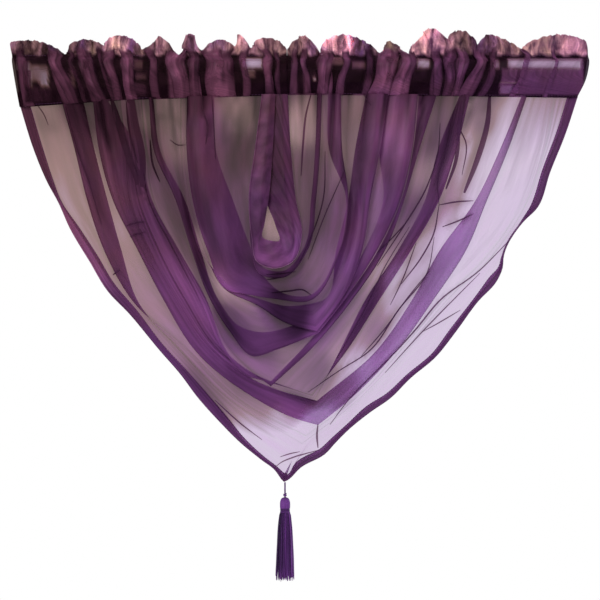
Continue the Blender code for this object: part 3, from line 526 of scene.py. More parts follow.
def smooth_curve(points, per_span=CURVE_STEPS):
    """A smooth curve through points, with per_span steps from each to the next."""
    points = np.asarray(points, float)
    at = lengths_along(points[:, :2])
    gaps = np.diff(at)
    slopes = np.gradient(points, at, axis=0)
    t = np.linspace(0.0, 1.0, per_span, endpoint=False)[:, None]
    spans = [
        hermite(points[i], points[i + 1], slopes[i] * gaps[i], slopes[i + 1] * gaps[i], t)
        for i in range(len(gaps))
    ]
    return np.vstack(spans + [points[-1:]])


def picked(points, run, at):
    """points, which lie at distances run, at the distances at."""
    return np.stack([np.interp(at, run, points[:, k]) for k in range(points.shape[1])], axis=1)


def resampled(points, steps):
    """points at even steps along their length."""
    run = lengths_along(points)
    return picked(points, run, np.linspace(0.0, run[-1], steps + 1))


def spread(points, middle, steps_half, corner=False):
    """Even steps along a smooth curve, with points[middle], or a corner, at the middle step."""
    if corner:
        dense = np.vstack([smooth_curve(points[:middle + 1])[:-1], smooth_curve(points[middle:])])
    else:
        dense = smooth_curve(points)
    run = lengths_along(dense[:, :2])
    half = run[middle * CURVE_STEPS]
    at = np.concatenate((np.linspace(0.0, half, steps_half + 1),
                         np.linspace(half, run[-1], steps_half + 1)[1:]))
    return picked(dense, run, at)


def slot_bottom(x):
    return np.interp(x, SLOT_BOTTOM_X, SLOT_BOTTOM_DROP)


def to_frame(places):
    """Table places (x, drop, depth), let out by the belly, as x, y, z."""
    x, drop, depth = (places[..., k] for k in range(3))
    low = np.clip((drop - slot_bottom(x)) / (TIP_DROP - slot_bottom(x)), 0.0, 1.0)
    belly = BELLY * np.sin(math.pi * low) ** 2 * bell(x, BELLY_WIDTH)
    return np.stack([x, depth - belly, -drop], axis=-1)


def fold_narrowing(drop):
    """How far the folds have drawn in towards the drape's middle, as a share of the top."""
    return 1.0 - CONVERGE * np.clip(drop / TIP_DROP, 0.0, 1.0) ** 1.5


def shade(x, drop):
    """Light and tone at places of the drape, blended from the nearest rows of SHADES."""
    row_x, row_drop, reach, light, tone = np.array(SHADES).T
    drawn_in = fold_narrowing(drop)[..., None] / fold_narrowing(row_drop)
    beside = x[..., None] - CENTRE_X - (row_x - CENTRE_X) * drawn_in
    apart = beside ** 2 + (SHADE_ALONG * (drop[..., None] - row_drop)) ** 2
    weight = np.exp(-apart / reach ** 2) + SHADE_LEAST / (1.0 + apart)
    weight /= weight.sum(axis=-1)[..., None]
    return (weight * light).sum(axis=-1), (weight * tone).sum(axis=-1)


def grid_faces(rows, columns, start=0, closed=False):
    """Quads of a grid of rows by columns; closed joins its last column to its first."""
    faces = []
    for row in range(rows - 1):
        for column in range(columns if closed else columns - 1):
            after = (column + 1) % columns
            a, b = start + row * columns + column, start + row * columns + after
            faces.append((a, b, b + columns, a + columns))
    return faces


def piece(name, verts, faces, mat, floats, uvs=None):
    """A mesh object from verts in mm, smooth, riding on the root body."""
    mesh = bpy.data.meshes.new(name)
    mesh.from_pydata([tuple(v) for v in np.asarray(verts) * MM], [], faces)
    for label, values in floats.items():
        layer = mesh.attributes.new(label, "FLOAT", "POINT")
        layer.data.foreach_set("value", np.ravel(values).astype(np.float32))
    if uvs is not None:
        corners = np.empty(len(mesh.loops), dtype=np.int32)
        mesh.loops.foreach_get("vertex_index", corners)
        layer = mesh.uv_layers.new(name="weave")
        layer.data.foreach_set("uv", (np.asarray(uvs) * MM)[corners].astype(np.float32).ravel())
    mesh.shade_smooth()
    mesh.materials.append(mat)
    obj = bpy.data.objects.new(name, mesh)
    bpy.context.scene.collection.objects.link(obj)
    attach(obj, "root")
    return obj


def run_lengths(places):
    """Distance along the rows and along the columns of a grid, for its weave."""
    along = np.linalg.norm(np.diff(places, axis=1), axis=2)
    across = np.linalg.norm(np.diff(places, axis=0), axis=2)
    u = np.concatenate([np.zeros((places.shape[0], 1)), np.cumsum(along, axis=1)], axis=1)
    v = np.concatenate([np.zeros((1, places.shape[1])), np.cumsum(across, axis=0)], axis=0)
    return u, v


def flat_pairs(u, v):
    return np.column_stack([u.ravel(), v.ravel()])


# ---- materials ----------------------------------------------------------------------------
class Value:
    """An output in a material's nodes; its sums and products are math nodes."""

    def __init__(self, nodes, socket):
        self.nodes, self.socket = nodes, socket

    def __add__(self, other):
        return self.nodes.math("ADD", self, other)

    def __sub__(self, other):
        return self.nodes.math("SUBTRACT", self, other)

    def __rsub__(self, other):
        return self.nodes.math("SUBTRACT", other, self)

    def __mul__(self, other):
        return self.nodes.math("MULTIPLY", self, other)

    def __pow__(self, other):
        return self.nodes.math("POWER", self, other)

    __radd__, __rmul__ = __add__, __mul__

    def clamped(self):
        """Keeps what the last operation gives between 0 and 1."""
        self.socket.node.use_clamp = True
        return self


class Nodes:
    """Adds and joins the nodes of one material."""

    def __init__(self, name):
        self.material = bpy.data.materials.new(name)
        self.material.use_nodes = True
        self.tree = self.material.node_tree
        self.tree.nodes.clear()

    def add(self, kind, settings=None, output=0, **inputs):
        """One output of a new node; inputs go by name, or by i and their number."""
        node = self.tree.nodes.new("ShaderNode" + kind)
        for key, value in (settings or {}).items():
            setattr(node, key, value)
        for key, value in inputs.items():
            socket = node.inputs[int(key[1:]) if key[1:].isdigit() else key.replace("_", " ")]
            if isinstance(value, Value):
                self.tree.links.new(value.socket, socket)
            else:
                socket.default_value = value
        return Value(self, node.outputs[output])

    def place(self):
        return self.add("TexCoord", output="Object")

    def attribute(self, label):
        return self.add("Attribute", {"attribute_name": label}, "Fac")

    def noise(self, vector, scale=1.0, detail=2.0, **inputs):
        return self.add("TexNoise", Vector=vector, Scale=scale, Detail=detail, **inputs)

    def stretched(self, vector, scale):
        return self.add("Mapping", Vector=vector, Scale=scale)

    def bump(self, height, strength, distance):
        return self.add("Bump", Height=height, Strength=strength, Distance=distance)

    def math(self, operation, a, b=0.0):
        return self.add("Math", {"operation": operation}, i0=a, i1=b)

    def between(self, share, a, b):
        return self.add("Mix", {"data_type": "FLOAT"}, i0=share, i2=a, i3=b)

    def mix(self, share, a, b, blend="MIX"):
        """a and b mixed as colours."""
        return self.add("Mix", {"data_type": "RGBA", "blend_type": blend}, 2,
                        i0=share, i6=a, i7=b)

    def tinted(self, share, colour, by):
        """colour multiplied by another, as far as share says."""
        return self.mix(share, colour, by, "MULTIPLY")

    def ramp(self, share, low, middle, high):
        """A colour from low, where share is 0, through middle to high, where it is 1."""
        colour = self.add("ValToRGB", Fac=share)
        stops = colour.socket.node.color_ramp.elements
        stops[0].color, stops[1].color = low, high
        stops.new(0.5).color = middle
        return colour

    def finish(self, surface):
        output = self.tree.nodes.new("ShaderNodeOutputMaterial")
        self.tree.links.new(surface.socket, output.inputs["Surface"])
        return self.material


def rgb(red, green, blue):
    return (red, green, blue, 1.0)


# colour let through by one layer, where the attribute light is 0, a half and 1: the painted shade and
# light of a wall seen through the cloth
DARK_THROUGH = rgb(0.065, 0.052, 0.045)
HALF_THROUGH = rgb(0.40, 0.30, 0.245)
LIGHT_THROUGH = rgb(0.88, 0.81, 0.95)
COOL = rgb(0.85, 0.88, 1.35)       # multiplies it towards the lower right: painted light, as of a cooler lit wall seen through there
DENSE_AND_SHADED = rgb(0.30, 0.14, 0.28)      # multiplies it where the cloth is dense, and where shade is painted
WINE = rgb(0.155, 0.042, 0.090)    # cloth's colour towards the upper left
VIOLET = rgb(0.165, 0.045, 0.20)   # and towards the lower right
BLUSH = rgb(0.42, 0.17, 0.33)      # where it is seen edge-on
SHEEN = rgb(0.85, 0.55, 0.9)
FRILL_VIOLET = rgb(0.17, 0.055, 0.25)
FRILL_PINK = rgb(0.56, 0.27, 0.33)
FRILL_GOLD = rgb(0.46, 0.28, 0.22)
THREAD_SHADOW = rgb(0.35, 0.3, 0.4)
COVER = 0.36                       # share of light a layer stops, seen square on
EDGE_COVER = 0.93                  # and seen edge-on
DENSE_AND_SHADED_COVER = 0.3                  # and more where it is dense, and where shade is painted
STREAK_SCALE = (6.0, 7.0)          # noise across and along the folds
STREAK_LIGHT, STREAK_COVER, STREAK_TONE = 0.7, 0.2, 1.2    # what the streaks change
WEAVE_DEPTH, SLUB_DEPTH, UNEVEN_COVER = 0.05, 0.3, 0.25    # and the weave
BLUSH_MOST = 0.3
# the most sheen and gloss, scaled by the tone, so they fade where shade is painted
SHEEN_MOST = 0.12
GLOSS_MOST = 0.18
BACKLIT = 0.3                      # share of the cloth's body that lets light through
# painted shade in the frill's pucker hollows, and painted highlights on their crests
PUCKER_DARK, PUCKER_BRIGHT = 0.4, 1.2
WEAVE = 6908.0                     # radians a metre: about 1100 waves of thread
SLUB_STRETCH = (40.0, 800.0, 1.0)
PUCKER_STRETCH = (130.0, 60.0, 45.0)
BRUSH_STRETCH = (6.0, 300.0, 300.0)


def make_voile(name, extra_cover=0.0):
    """Sheer cloth: clear where light passes between its threads, coloured where it doesn't."""
    n = Nodes(name)
    place = n.place()
    x, z = (n.add("SeparateXYZ", output=axis, Vector=place) for axis in "XZ")
    density, frill, tone = (n.attribute(label) for label in ("density", "frill", "tone"))
    # streaks: soft crumpling along the folds
    lanes = n.add("CombineXYZ", X=STREAK_SCALE[0] * n.attribute("lane"),
                  Y=STREAK_SCALE[1] * n.attribute("along"))
    streak = n.noise(lanes, detail=3.0) - 0.5
    light = (n.attribute("light") * (1.0 + STREAK_LIGHT * streak)).clamped()
    # what shows through: painted light and shade of a wall behind, cooler towards the lower right, and
    # darker where the cloth is dense and where shade is painted
    through = n.ramp(light, DARK_THROUGH, HALF_THROUGH, LIGHT_THROUGH)
    lower_right = (8.0 * x - 6.0 * z - 1.3).clamped()
    through = n.tinted(lower_right * (1.0 - light), through, COOL)
    through = n.tinted(density, through, DENSE_AND_SHADED)
    # weave: fine threads both ways, with slubs
    threads = n.add("UVMap", {"uv_map": "weave"})
    warp, weft = (n.math("SINE", WEAVE * n.add("SeparateXYZ", output=axis, Vector=threads))
                  for axis in "XY")
    slubs = n.noise(n.stretched(threads, SLUB_STRETCH), detail=3.0)
    uneven = WEAVE_DEPTH * (warp * weft) + SLUB_DEPTH * (slubs - 0.5)
    edge_on = n.add("LayerWeight", output="Facing", Blend=0.5) ** 3.0
    cover = n.between(edge_on, COVER + extra_cover, EDGE_COVER)
    cover = cover + UNEVEN_COVER * uneven + STREAK_COVER * streak
    cover = (cover + DENSE_AND_SHADED_COVER * density).clamped()
    cloud = n.noise(place, 24.0, 4.0) - 0.5
    own = n.mix((1.6 * x - 4.2 * z + cloud).clamped(), WINE, VIOLET)
    own = n.mix(BLUSH_MOST * edge_on, own, BLUSH)
    # frill: puckered cloth in violet, pink and gold-brown, with painted shade in its hollows and
    # painted highlights on its crests
    puckers = n.noise(n.stretched(place, PUCKER_STRETCH), 1.0, 4.0, Roughness=0.55,
                      Distortion=0.6)
    pucker = n.add("MapRange", Value=puckers, From_Min=0.34, From_Max=0.66)
    hue = n.attribute("hue") + (n.noise(place, 90.0) - 0.5)
    own = n.mix(frill * pucker, own, n.ramp(hue, FRILL_VIOLET, FRILL_PINK, FRILL_GOLD))
    own = n.tinted(1.0, own, n.between(frill, 1.0, PUCKER_DARK + PUCKER_BRIGHT * pucker))
    own = n.tinted(1.0, own, tone * (1.0 + STREAK_TONE * streak))
    cloth = n.add("BsdfPrincipled", Base_Color=own, Roughness=0.45,
                  Normal=n.bump(slubs, 0.2, 0.0004), Sheen_Weight=SHEEN_MOST * tone,
                  Sheen_Roughness=0.4, Sheen_Tint=SHEEN, Specular_IOR_Level=GLOSS_MOST * tone)
    body = n.add("MixShader", Fac=BACKLIT, i1=cloth, i2=n.add("BsdfTranslucent", Color=own))
    clear = n.add("BsdfTransparent", Color=through)
    return n.finish(n.add("MixShader", Fac=cover, i1=clear, i2=body))


def make_thread(name, colour, bright):
    """Twisted rayon thread; the attribute tone sets each strand's shade: its own, and on the tassel
    painted light as well.
    """
    n = Nodes(name)
    place = n.place()
    base = n.mix(n.attribute("tone"), colour, bright)
    base = n.tinted(0.5 * n.noise(place, 900.0), base, THREAD_SHADOW)
    ply = n.add("TexWave", {"bands_direction": "DIAGONAL"}, Vector=place, Scale=900.0,
                Distortion=1.0)
    return n.finish(n.add("BsdfPrincipled", Base_Color=base, Roughness=0.38,
                          Normal=n.bump(ply, 0.5, 0.0002), Specular_IOR_Level=0.12))


def make_rod_paint():
    n = Nodes("rod_paint")
    marks = n.noise(n.stretched(n.place(), BRUSH_STRETCH), detail=4.0)
    base = n.mix(marks, rgb(0.86, 0.85, 0.83), rgb(0.76, 0.75, 0.73))
    return n.finish(n.add("BsdfPrincipled", Base_Color=base,
                          Roughness=n.between(marks, 0.25, 0.42),
                          Normal=n.bump(marks, 0.08, 0.0002)))


def make_floor_paint():
    n = Nodes("floor_paint")
    base = n.mix(n.noise(n.place(), 3.0), rgb(0.80, 0.79, 0.78), rgb(0.84, 0.83, 0.82))
    return n.finish(n.add("BsdfPrincipled", Base_Color=base, Roughness=0.9))


# ---- the panel ----------------------------------------------------------------------------
def hem_lines():
    """The hem's outer edge and its inner line, as (steps, x drop depth)."""
    edge = spread(HEM, HEM_TIP_ROW, STEPS_ALONG_HALF)
    along = np.gradient(edge[:, :2], axis=0)
    along /= np.linalg.norm(along, axis=1)[:, None]
    inward = np.stack([along[:, 1], -along[:, 0]], axis=1)
    facing = np.clip(edge[:, 2], HEM_NARROWEST, HEM_WIDTH)
    turned_away = np.sqrt(HEM_WIDTH ** 2 - facing ** 2)
    inner = edge[:, :2] + inward * facing[:, None]
    outer = np.column_stack([edge[:, :2], -HEM_TURN_DEPTH * turned_away])
    return outer, np.column_stack([inner, np.zeros(len(inner))])


def fold_line(fold):
    """One fold line, as (steps, x drop depth radius)."""
    left, right = (
        [(side[0], slot_bottom(side[0]) + SEAM_GAP)] + list(zip(side[1:], LEVELS))
        for side in (fold.left, fold.right)
    )
    points = left + list(fold.turn) + right[::-1]
    middle = len(left) + len(fold.turn) - 1
    line = spread(points, middle, STEPS_ALONG_HALF, fold.corner)
    s = np.linspace(0.0, 1.0, 2 * STEPS_ALONG_HALF + 1)
    to_end = np.minimum(s, 1.0 - s)
    to_middle = smooth_step(to_end / 0.5)
    opened = PINCH + (1.0 - PINCH) * smooth_step(to_end / PINCH_SHARE)

    def blend(values):
        shoulder = np.where(s < 0.5, values[0], values[2])
        return shoulder + (values[1] - shoulder) * to_middle

    return np.column_stack([line, blend(fold.depth) * opened, blend(fold.radius)])


def across(start, end, t):
    """The cloth between two fold lines: round at each fold, nearly flat between."""
    length = np.linalg.norm(end[:, :2] - start[:, :2], axis=1)
    drift = end[:, 2] - start[:, 2]

    def slope(radius):
        return np.where(radius > 0, -np.sqrt(6.0 * radius * length), drift)

    start_speed = np.where(start[:, 3] > 0, 0.0, 1.0)
    end_speed = np.where(end[:, 3] > 0, 0.0, 1.0)
    share = hermite(0.0, 1.0, start_speed, end_speed, t)[:, None]
    flat = start[:, :2] + (end[:, :2] - start[:, :2]) * share
    depth = hermite(start[:, 2], end[:, 2], slope(start[:, 3]), slope(end[:, 3]), t)
    return np.column_stack([flat, depth])


def panel_places():
    """The panel with its hem turned twice, as (rows, steps, xyz), the rows of the hem, and
    for each row a number that grows by 1 from one fold line to the next.
    """
    outer, inner = hem_lines()
    rows = [outer + (inner - outer) * share + layers * LAYER_GAP * BACK
            for share, layers in HEM_TURNS]
    hem_rows = len(rows) + ACROSS_STEPS[0] * ACROSS_FINER
    lane = [0.0] * len(rows)
    unfolded = np.zeros((len(outer), 1))
    lines = [np.hstack([outer, unfolded]), np.hstack([inner, unfolded])]
    lines += [fold_line(fold) for fold in FOLDS]
    for number, steps in enumerate(ACROSS_STEPS):
        steps *= ACROSS_FINER
        shares = [k / steps for k in range(1, steps + 1)]
        rows += [across(lines[number], lines[number + 1], share) for share in shares]
        lane += [number + share for share in shares]
    places = np.array(rows)
    places[..., 1] = np.maximum(places[..., 1], slot_bottom(places[..., 0]) + SEAM_GAP)
    return to_frame(places), hem_rows, np.array(lane)


def pleats(x, drop):
    """Pleats from -1.6 to 1.6 that leave the heading and draw together down the cloth."""
    q = (x - CENTRE_X) / fold_narrowing(drop)
    return q, (np.sin(TURN * q / PLEAT_PITCH + 1.3 * np.sin(q / 37.0))
               + 0.6 * np.sin(TURN * q / FINE_PITCH + 1.1 * np.sin(q / 23.0)))


def gather_ripple(places, hem_rows):
    """Soft pleats that leave the heading, run with the folds and die out down the cloth.

    The depth depends on the place alone, so layers that lie on each other move together.
    """
    x, drop = places[..., 0], -places[..., 2]
    q, wave = pleats(x, drop)
    below = drop - slot_bottom(x)
    near = np.exp(-below / GATHER_REACH) * smooth_step(below / GATHER_START)
    slack = np.sin(q / 6.5 + drop / 70.0) + 0.6 * np.sin(q / 3.6 - drop / 45.0 + 1.0)
    ripple = GATHER_HEIGHT * wave * near
    ripple += SLACK_HEIGHT * slack * smooth_step(below / SLACK_START)
    ripple *= 1.0 - np.exp(-((x - CENTRE_X) / LOOP_CLEAR) ** 4)
    ripple[:hem_rows] = 0.0
    return ripple


def crease_line(crease):
    return resampled(smooth_curve(crease.points), CREASE_STEPS)


def crease_relief(places):
    """How far back the creases push the cloth at places, and how much painted shade they lay on it."""
    x, drop = places[..., 0], -places[..., 2]
    back, dark = np.zeros(x.shape), np.zeros(x.shape)
    for crease in CREASES:
        line = crease_line(crease)
        margin = 3.0 * crease.reach
        low, high = line.min(axis=0) - margin, line.max(axis=0) + margin
        near = (x > low[0]) & (x < high[0]) & (drop > low[1]) & (drop < high[1])
        apart = np.hypot(x[near][:, None] - line[:, 0], drop[near][:, None] - line[:, 1])
        taper = np.sin(math.pi * (apart.argmin(axis=1) + 0.5) / len(line)) ** CREASE_TAPER
        pressed = taper * bell(apart.min(axis=1), crease.reach)
        back[near] -= crease.height * pressed
        strongest = np.abs(crease.shade * pressed) > np.abs(dark[near])
        dark[near] = np.where(strongest, crease.shade * pressed, dark[near])
    return back, dark


def crease_strips(tree):
    """Narrow pinched folds on the front of the cloth, as verts, faces, uvs and painted shades."""
    verts, faces, uvs, dark = [], [], [], []
    for crease in CREASES:
        if crease.line == 0:
            continue
        line = crease_line(crease)
        along = np.gradient(line, axis=0)
        along /= np.linalg.norm(along, axis=1)[:, None]
        side = np.stack([-along[:, 1], along[:, 0]], axis=1)
        taper = np.sin(math.pi * np.linspace(0.06, 0.94, len(line))) ** CREASE_TAPER
        start = len(verts)
        for offset, lift in ((-0.5, 0.0), (0.0, -CREASE_LIFT), (0.5, 0.0)):
            edge = line + side * (offset * crease.line * taper)[:, None]
            for x, drop in edge:
                hit = tree.ray_cast(Vector((x, -IN_FRONT, -drop)), Vector((0.0, 1.0, 0.0)))[0]
                cloth_y = 0.0 if hit is None else hit.y
                verts.append((x, cloth_y - LAYER_GAP + lift, -drop))
                uvs.append((x, drop))
                dark.append(crease.shade)
        faces += grid_faces(3, len(line), start)
    return np.array(verts), faces, uvs, np.array(dark)


def fold_edges(v, hem_rows):
    """How close each place of the panel is to a fold line, from 0 to 1."""
    crest = np.zeros(v.shape)
    row = hem_rows - 1
    run = np.linspace(0.0, 1.0, v.shape[1])
    for number, steps in enumerate(ACROSS_STEPS[1:-1]):
        row += steps * ACROSS_FINER
        strength = 0.55 + 0.45 * np.sin(9.0 * run + 2.1 * number)
        crest = np.maximum(crest, bell(v - v[row], EDGE_LINE) * strength)
    return crest


def panel_shade(places, dark, edges, hem_rows):
    """Painted light and shade over the panel, as light, tone and how dense the cloth is."""
    x, drop = places[..., 0], -places[..., 2]
    light, tone = shade(x, drop)
    # painted shade in the pleats' troughs near the slot, along the fold lines and in the creases
    near = np.exp(-(drop - slot_bottom(x)) / PLEAT_TONE_REACH)
    near *= within(x, *PLEATED, PLEATED_SOFT)
    lit = 1.0 - PLEAT_TONE * near * np.clip(pleats(x, drop)[1], 0.0, 1.0)
    tone *= (1.0 - EDGE_DARK * edges) * (1.0 - dark) * lit
    light *= (1.0 - CREASE_DIMS * dark) * lit
    # light below 0 is painted shade, carried on as denser cloth
    density = np.maximum(edges, np.clip(-light, 0.0, 1.0))
    light = np.clip(light, 0.0, LIGHT_MOST)
    hem = slice(0, hem_rows - 2)
    pale = within(drop[hem], *PALE_DROPS, PALE_SOFT) * (x[hem] < PALE_UP_TO_X)
    light[hem] = np.minimum(light[hem], HEM_LIGHT_MOST) * (
        HEM_SHADE + (HEM_PALE - HEM_SHADE) * pale)
    tone[hem] *= 1.0 + pale
    density[hem] = HEM_DENSITY * (1.0 - HEM_THINNED * pale)
    return light, tone, density


def make_panel(voile):
    places, hem_rows, lane = panel_places()
    back, dark = crease_relief(places)
    places[..., 1] += gather_ripple(places, hem_rows) + back
    rows, columns = places.shape[:2]
    faces = grid_faces(rows, columns)
    verts = places.reshape(-1, 3)
    u, v = run_lengths(places)
    tree = BVHTree.FromPolygons([Vector(p) for p in verts], faces)
    strip_verts, strip_faces, strip_uvs, strip_dark = crease_strips(tree)
    faces += [tuple(i + len(verts) for i in face) for face in strip_faces]
    light, tone, density = panel_shade(places, dark, fold_edges(v, hem_rows), hem_rows)
    strip_light, strip_tone = shade(strip_verts[:, 0], -strip_verts[:, 2])
    strips = len(strip_verts)
    along = np.tile(np.linspace(0.0, 1.0, columns), rows)
    floats = {
        "density": (density, np.full(strips, CREASE_DENSITY)),
        "light": (light, np.maximum(strip_light, 0.0) * CREASE_LIGHT),
        "tone": (tone, strip_tone * (CREASE_TONE - strip_dark)),
        "lane": (np.repeat(lane, columns), np.zeros(strips)),
        "along": (along, np.zeros(strips)),
    }
    floats = {label: np.concatenate([sheet.ravel(), pinched])
              for label, (sheet, pinched) in floats.items()}
    panel = piece("swag_cloth", np.vstack([verts, strip_verts]), faces, voile, floats,
                  np.vstack([flat_pairs(u, v), strip_uvs]))
    return panel, places[hem_rows - 1]


# ---- the gathered heading -------------------------------------------------------------------
def gathered(gathers, start, end):
    """Steps along the gathered cloth: x at frill top, at seam and at slot bottom, depth, turn.

    The cloth runs right to a gather's right edge, back behind it to its left edge and on.
    """
    turns = [(start, start, start, 0.0, 0.0)]
    for number, row in enumerate(gathers, 1):
        top_right = row.seam_right + GATHER_FLARE * math.sin(2.4 * (number - 1) + 1.0)
        top_left = top_right + row.seam_left - row.seam_right - GATHER_SETBACK
        turns.append((top_right, row.seam_right, row.low_right, -1.0, number))
        turns.append((top_left, row.seam_left, row.low_left, 1.0, number))
    turns.append((end, end, end, 0.0, len(gathers) + 1.0))
    turns = np.array(turns)
    steps = []
    for a, b in zip(turns, turns[1:]):
        count = max(LEAST_TURN_STEPS, int(abs(b[1] - a[1]) / GATHER_STEP))
        for t in np.linspace(0.0, 1.0, count, endpoint=False):
            steps.append(a + (b - a) * smooth_step(t))
    return np.array(steps + [turns[-1]])


def frill_height(frill, x):
    """Height of the frill's top: broad crests and narrow dips, finely uneven."""
    xs, heights = np.array(frill, float).T
    span = np.clip(np.searchsorted(xs, x, side="right") - 1, 0, len(xs) - 2)
    share = np.clip((x - xs[span]) / (xs[span + 1] - xs[span]), 0.0, 1.0)
    before, after = heights[span], heights[span + 1]
    up = np.where(after > before, share, 1.0 - share)
    crest = np.where(after > before, xs[span + 1], xs[span])
    power = np.where(np.isin(crest, NARROW_CRESTS), NARROW, BROAD)
    rise = np.abs(after - before) * np.sin(0.5 * math.pi * up) ** power
    return np.minimum(before, after) + rise + 0.5 * np.sin(0.9 * x) + 0.4 * np.sin(2.3 * x + 1.0)


def gather_tones(gathers, seam_x):
    """How far in a gather each step of the heading is, and its tone there: painted light and shade
    that round each gather, and painted shade in the cracks between.
    """
    strip, tone = np.zeros(len(seam_x)), np.full(len(seam_x), CRACK_TONE)
    for row in gathers:
        width = row.seam_right - row.seam_left
        inside = within(seam_x, row.seam_left, row.seam_right, STRIP_SOFT)
        over = np.clip((seam_x - row.seam_left) / width, 0.0, 1.0)
        rounded = STRIP_EDGE + (1.0 - STRIP_EDGE) * np.sin(math.pi * over ** 0.8) ** 0.7
        if width > FOLDED_GATHER:
            rounded *= 1.0 - 0.5 * bell((over - FOLD_AT) * width, FOLD_LINE)
            rounded *= 1.0 + 0.4 * bell((over - LIT_AT) * width, LIT_LINE)
        strip = np.maximum(strip, inside)
        tone += (row.tone * rounded - tone) * inside
    return strip, tone


def heading_places(frill, gathers, left_end, right_end):
    """The slot and frill on one side, as (rows, steps, xyz), and for each step how far it is
    in a gather and its tone.
    """
    xs = np.array([row.x for row in frill], float)
    first, last = xs[0], xs[-1]
    crest_or_dip = np.array([1.0 if row.height > CREST_FROM else -1.0 for row in frill])
    top_x, seam_x, low_x, fold, turn = gathered(gathers, first, last).T
    strip, strip_tone = gather_tones(gathers, seam_x)
    run = np.concatenate(([0.0], np.cumsum(np.abs(np.diff(seam_x)))))
    inner = smooth_step(np.minimum(seam_x - first, last - seam_x) / HEADING_FLAT_END)
    small = inner * (np.sin(TURN * run / SMALL_PITCH) + 0.6 * np.sin(TURN * run / 4.1 + 1.0))
    ruffle = inner * np.sin(TURN * run / RUFFLE_PITCH + 1.5 * np.sin(run / 13.0))
    places = []
    for row in HEADING_SECTION:
        x = seam_x + (top_x - seam_x) * row.frill + (low_x - seam_x) * row.slot
        x = np.clip(x, first, last)
        height = frill_height(frill, x)
        lean = np.interp(x, xs, crest_or_dip)
        bulge = GATHER_BULGE * 0.5 * (1.0 + lean)
        wave = -FRILL_WAVE * lean * np.clip((height - SLOT_TOP) / FRILL_FULL_WAVE, 0.0, 1.0)
        side = -1.0 if row.front else 1.0
        y = row.y + row.bulge * bulge + row.wave * (wave + RUFFLE_HEIGHT * ruffle)
        y = y + side * row.stack * (1.0 - fold * side) * GATHER_STACK * 0.5
        y = y + row.stack * small * SMALL_HEIGHT + side * row.stack * strip * STRIP_BULGE
        y = y + side * strip * SEAM_FILL * (row.seam == 1)
        z = row.slot * -(slot_bottom(x) + SEAM_GAP) + row.seam * SLOT_TOP + row.frill * height
        z = z + row.up
        x = x + WANDER * inner * np.sin(0.21 * z + 1.9 * turn) * (1.0 - 0.7 * row.slot)
        share = (np.clip(x, first, last) - first) / (last - first)
        start, end = left_end(z), right_end(z)
        # where the two sides pass each other, the left one is in front
        passing, forward = (share > 0.5, -1.0) if end[0] < 0.0 else (share < 0.5, 1.0)
        to_end = np.minimum(share, 1.0 - share) * (last - first)
        y = y + CUT_APART * forward * passing * (1.0 - smooth_step(to_end / CUT_REACH))
        places.append(np.column_stack([start + (end - start) * share, y, z]))
    return np.array(places), strip, strip_tone


def refine_rows(places, per_span):
    """More rows between the given ones, on smooth curves through them."""
    t = np.linspace(0.0, 1.0, per_span, endpoint=False)
    slopes = np.gradient(places, axis=0)
    rows = []
    for i in range(len(places) - 1):
        rows += [hermite(places[i], places[i + 1], slopes[i], slopes[i + 1], k) for k in t]
    return np.array(rows + [places[-1]])


def heading_shade(places, strip, strip_tone):
    """Light and tone of the heading, painted light and shade: bright gathers, dark cracks, and the
    windows between.
    """
    x, drop = places[..., 0], -places[..., 2]
    lowest = slot_bottom(x)
    low = smooth_step((drop - FOOT_FROM * lowest) / (FOOT_OVER * lowest))
    under = shade(x, lowest + UNDER_DROP)[1]
    light = np.full(x.shape, HEADING_LIGHT)
    tone = strip_tone * HEADING_BRIGHT * (1.0 - 0.35 * np.sin(0.16 * drop + 0.09 * x) ** 2)
    tone = tone + (under * (0.7 + 0.6 * strip_tone) - tone) * low * strip * FOOT_SHARE
    for window in WINDOWS:
        share = within(x, window.left, window.right, WINDOW_SOFT)
        share = share * within(drop, window.top, window.low, WINDOW_SOFT)
        light = light + (window.light - light) * share
        tone = tone + (window.tone - tone) * share
    return light, tone


def make_heading(name, voile, frill, gathers, left_end, right_end):
    """One side's heading, and the lines of its seams that show between the gathers."""
    places, strip, strip_tone = heading_places(frill, gathers, left_end, right_end)
    fine = refine_rows(places, HEADING_FINER)
    rows, columns = fine.shape[:2]
    x, height = fine[..., 0], fine[..., 2]
    u, v = run_lengths(fine)
    density = np.zeros((rows, columns))
    band = HEADING_FINER * HEADING_TURNED
    density[:band + 1] = density[-band - 1:] = HEM_DENSITY
    light, tone = heading_shade(fine, strip, strip_tone)
    frill_from = SLOT_TOP - 1.0 + 5.0 * strip + 1.5 * np.sin(0.37 * x)
    ruffled = smooth_step((height - frill_from) / FRILL_RISE)
    frill_tone = shade(x, np.full(x.shape, FRILL_SHADE_DROP))[1]
    floats = {
        "density": density * (1.0 - strip), "frill": ruffled,
        "light": light + (FRILL_LIGHT - light) * ruffled,
        "tone": tone + (frill_tone - tone) * ruffled,
        "hue": np.interp(x, *np.array(FRILL_HUES).T), "lane": u / 25.0, "along": v / 200.0,
    }
    heading = piece(name, fine.reshape(-1, 3), grid_faces(rows, columns), voile,
                    floats, flat_pairs(u, v))
    kept = strip < 0.3
    runs = np.split(np.arange(columns), np.flatnonzero(np.diff(kept.astype(int))) + 1)
    seams = [fine[HEADING_FINER * row][run] for row in HEADING_STITCHED for run in runs
             if kept[run[0]] and len(run) > SHORTEST_RUN]
    return heading, seams


def left_end(z):
    return LEFT_END_X - LEFT_END_LEAN * z


def cut(z):
    """Half the gap between the two sides' headings at a height; below 0 they overlap."""
    return HEADING_CUT - (HEADING_CUT + HEADING_OVERLAP) * smooth_step((SLOT_TOP + 1.0 - z) / 4.0)


def left_cut(z):
    return FRILL_LEFT[-1].x - cut(z)


def right_cut(z):
    return FRILL_RIGHT[0].x + cut(z)


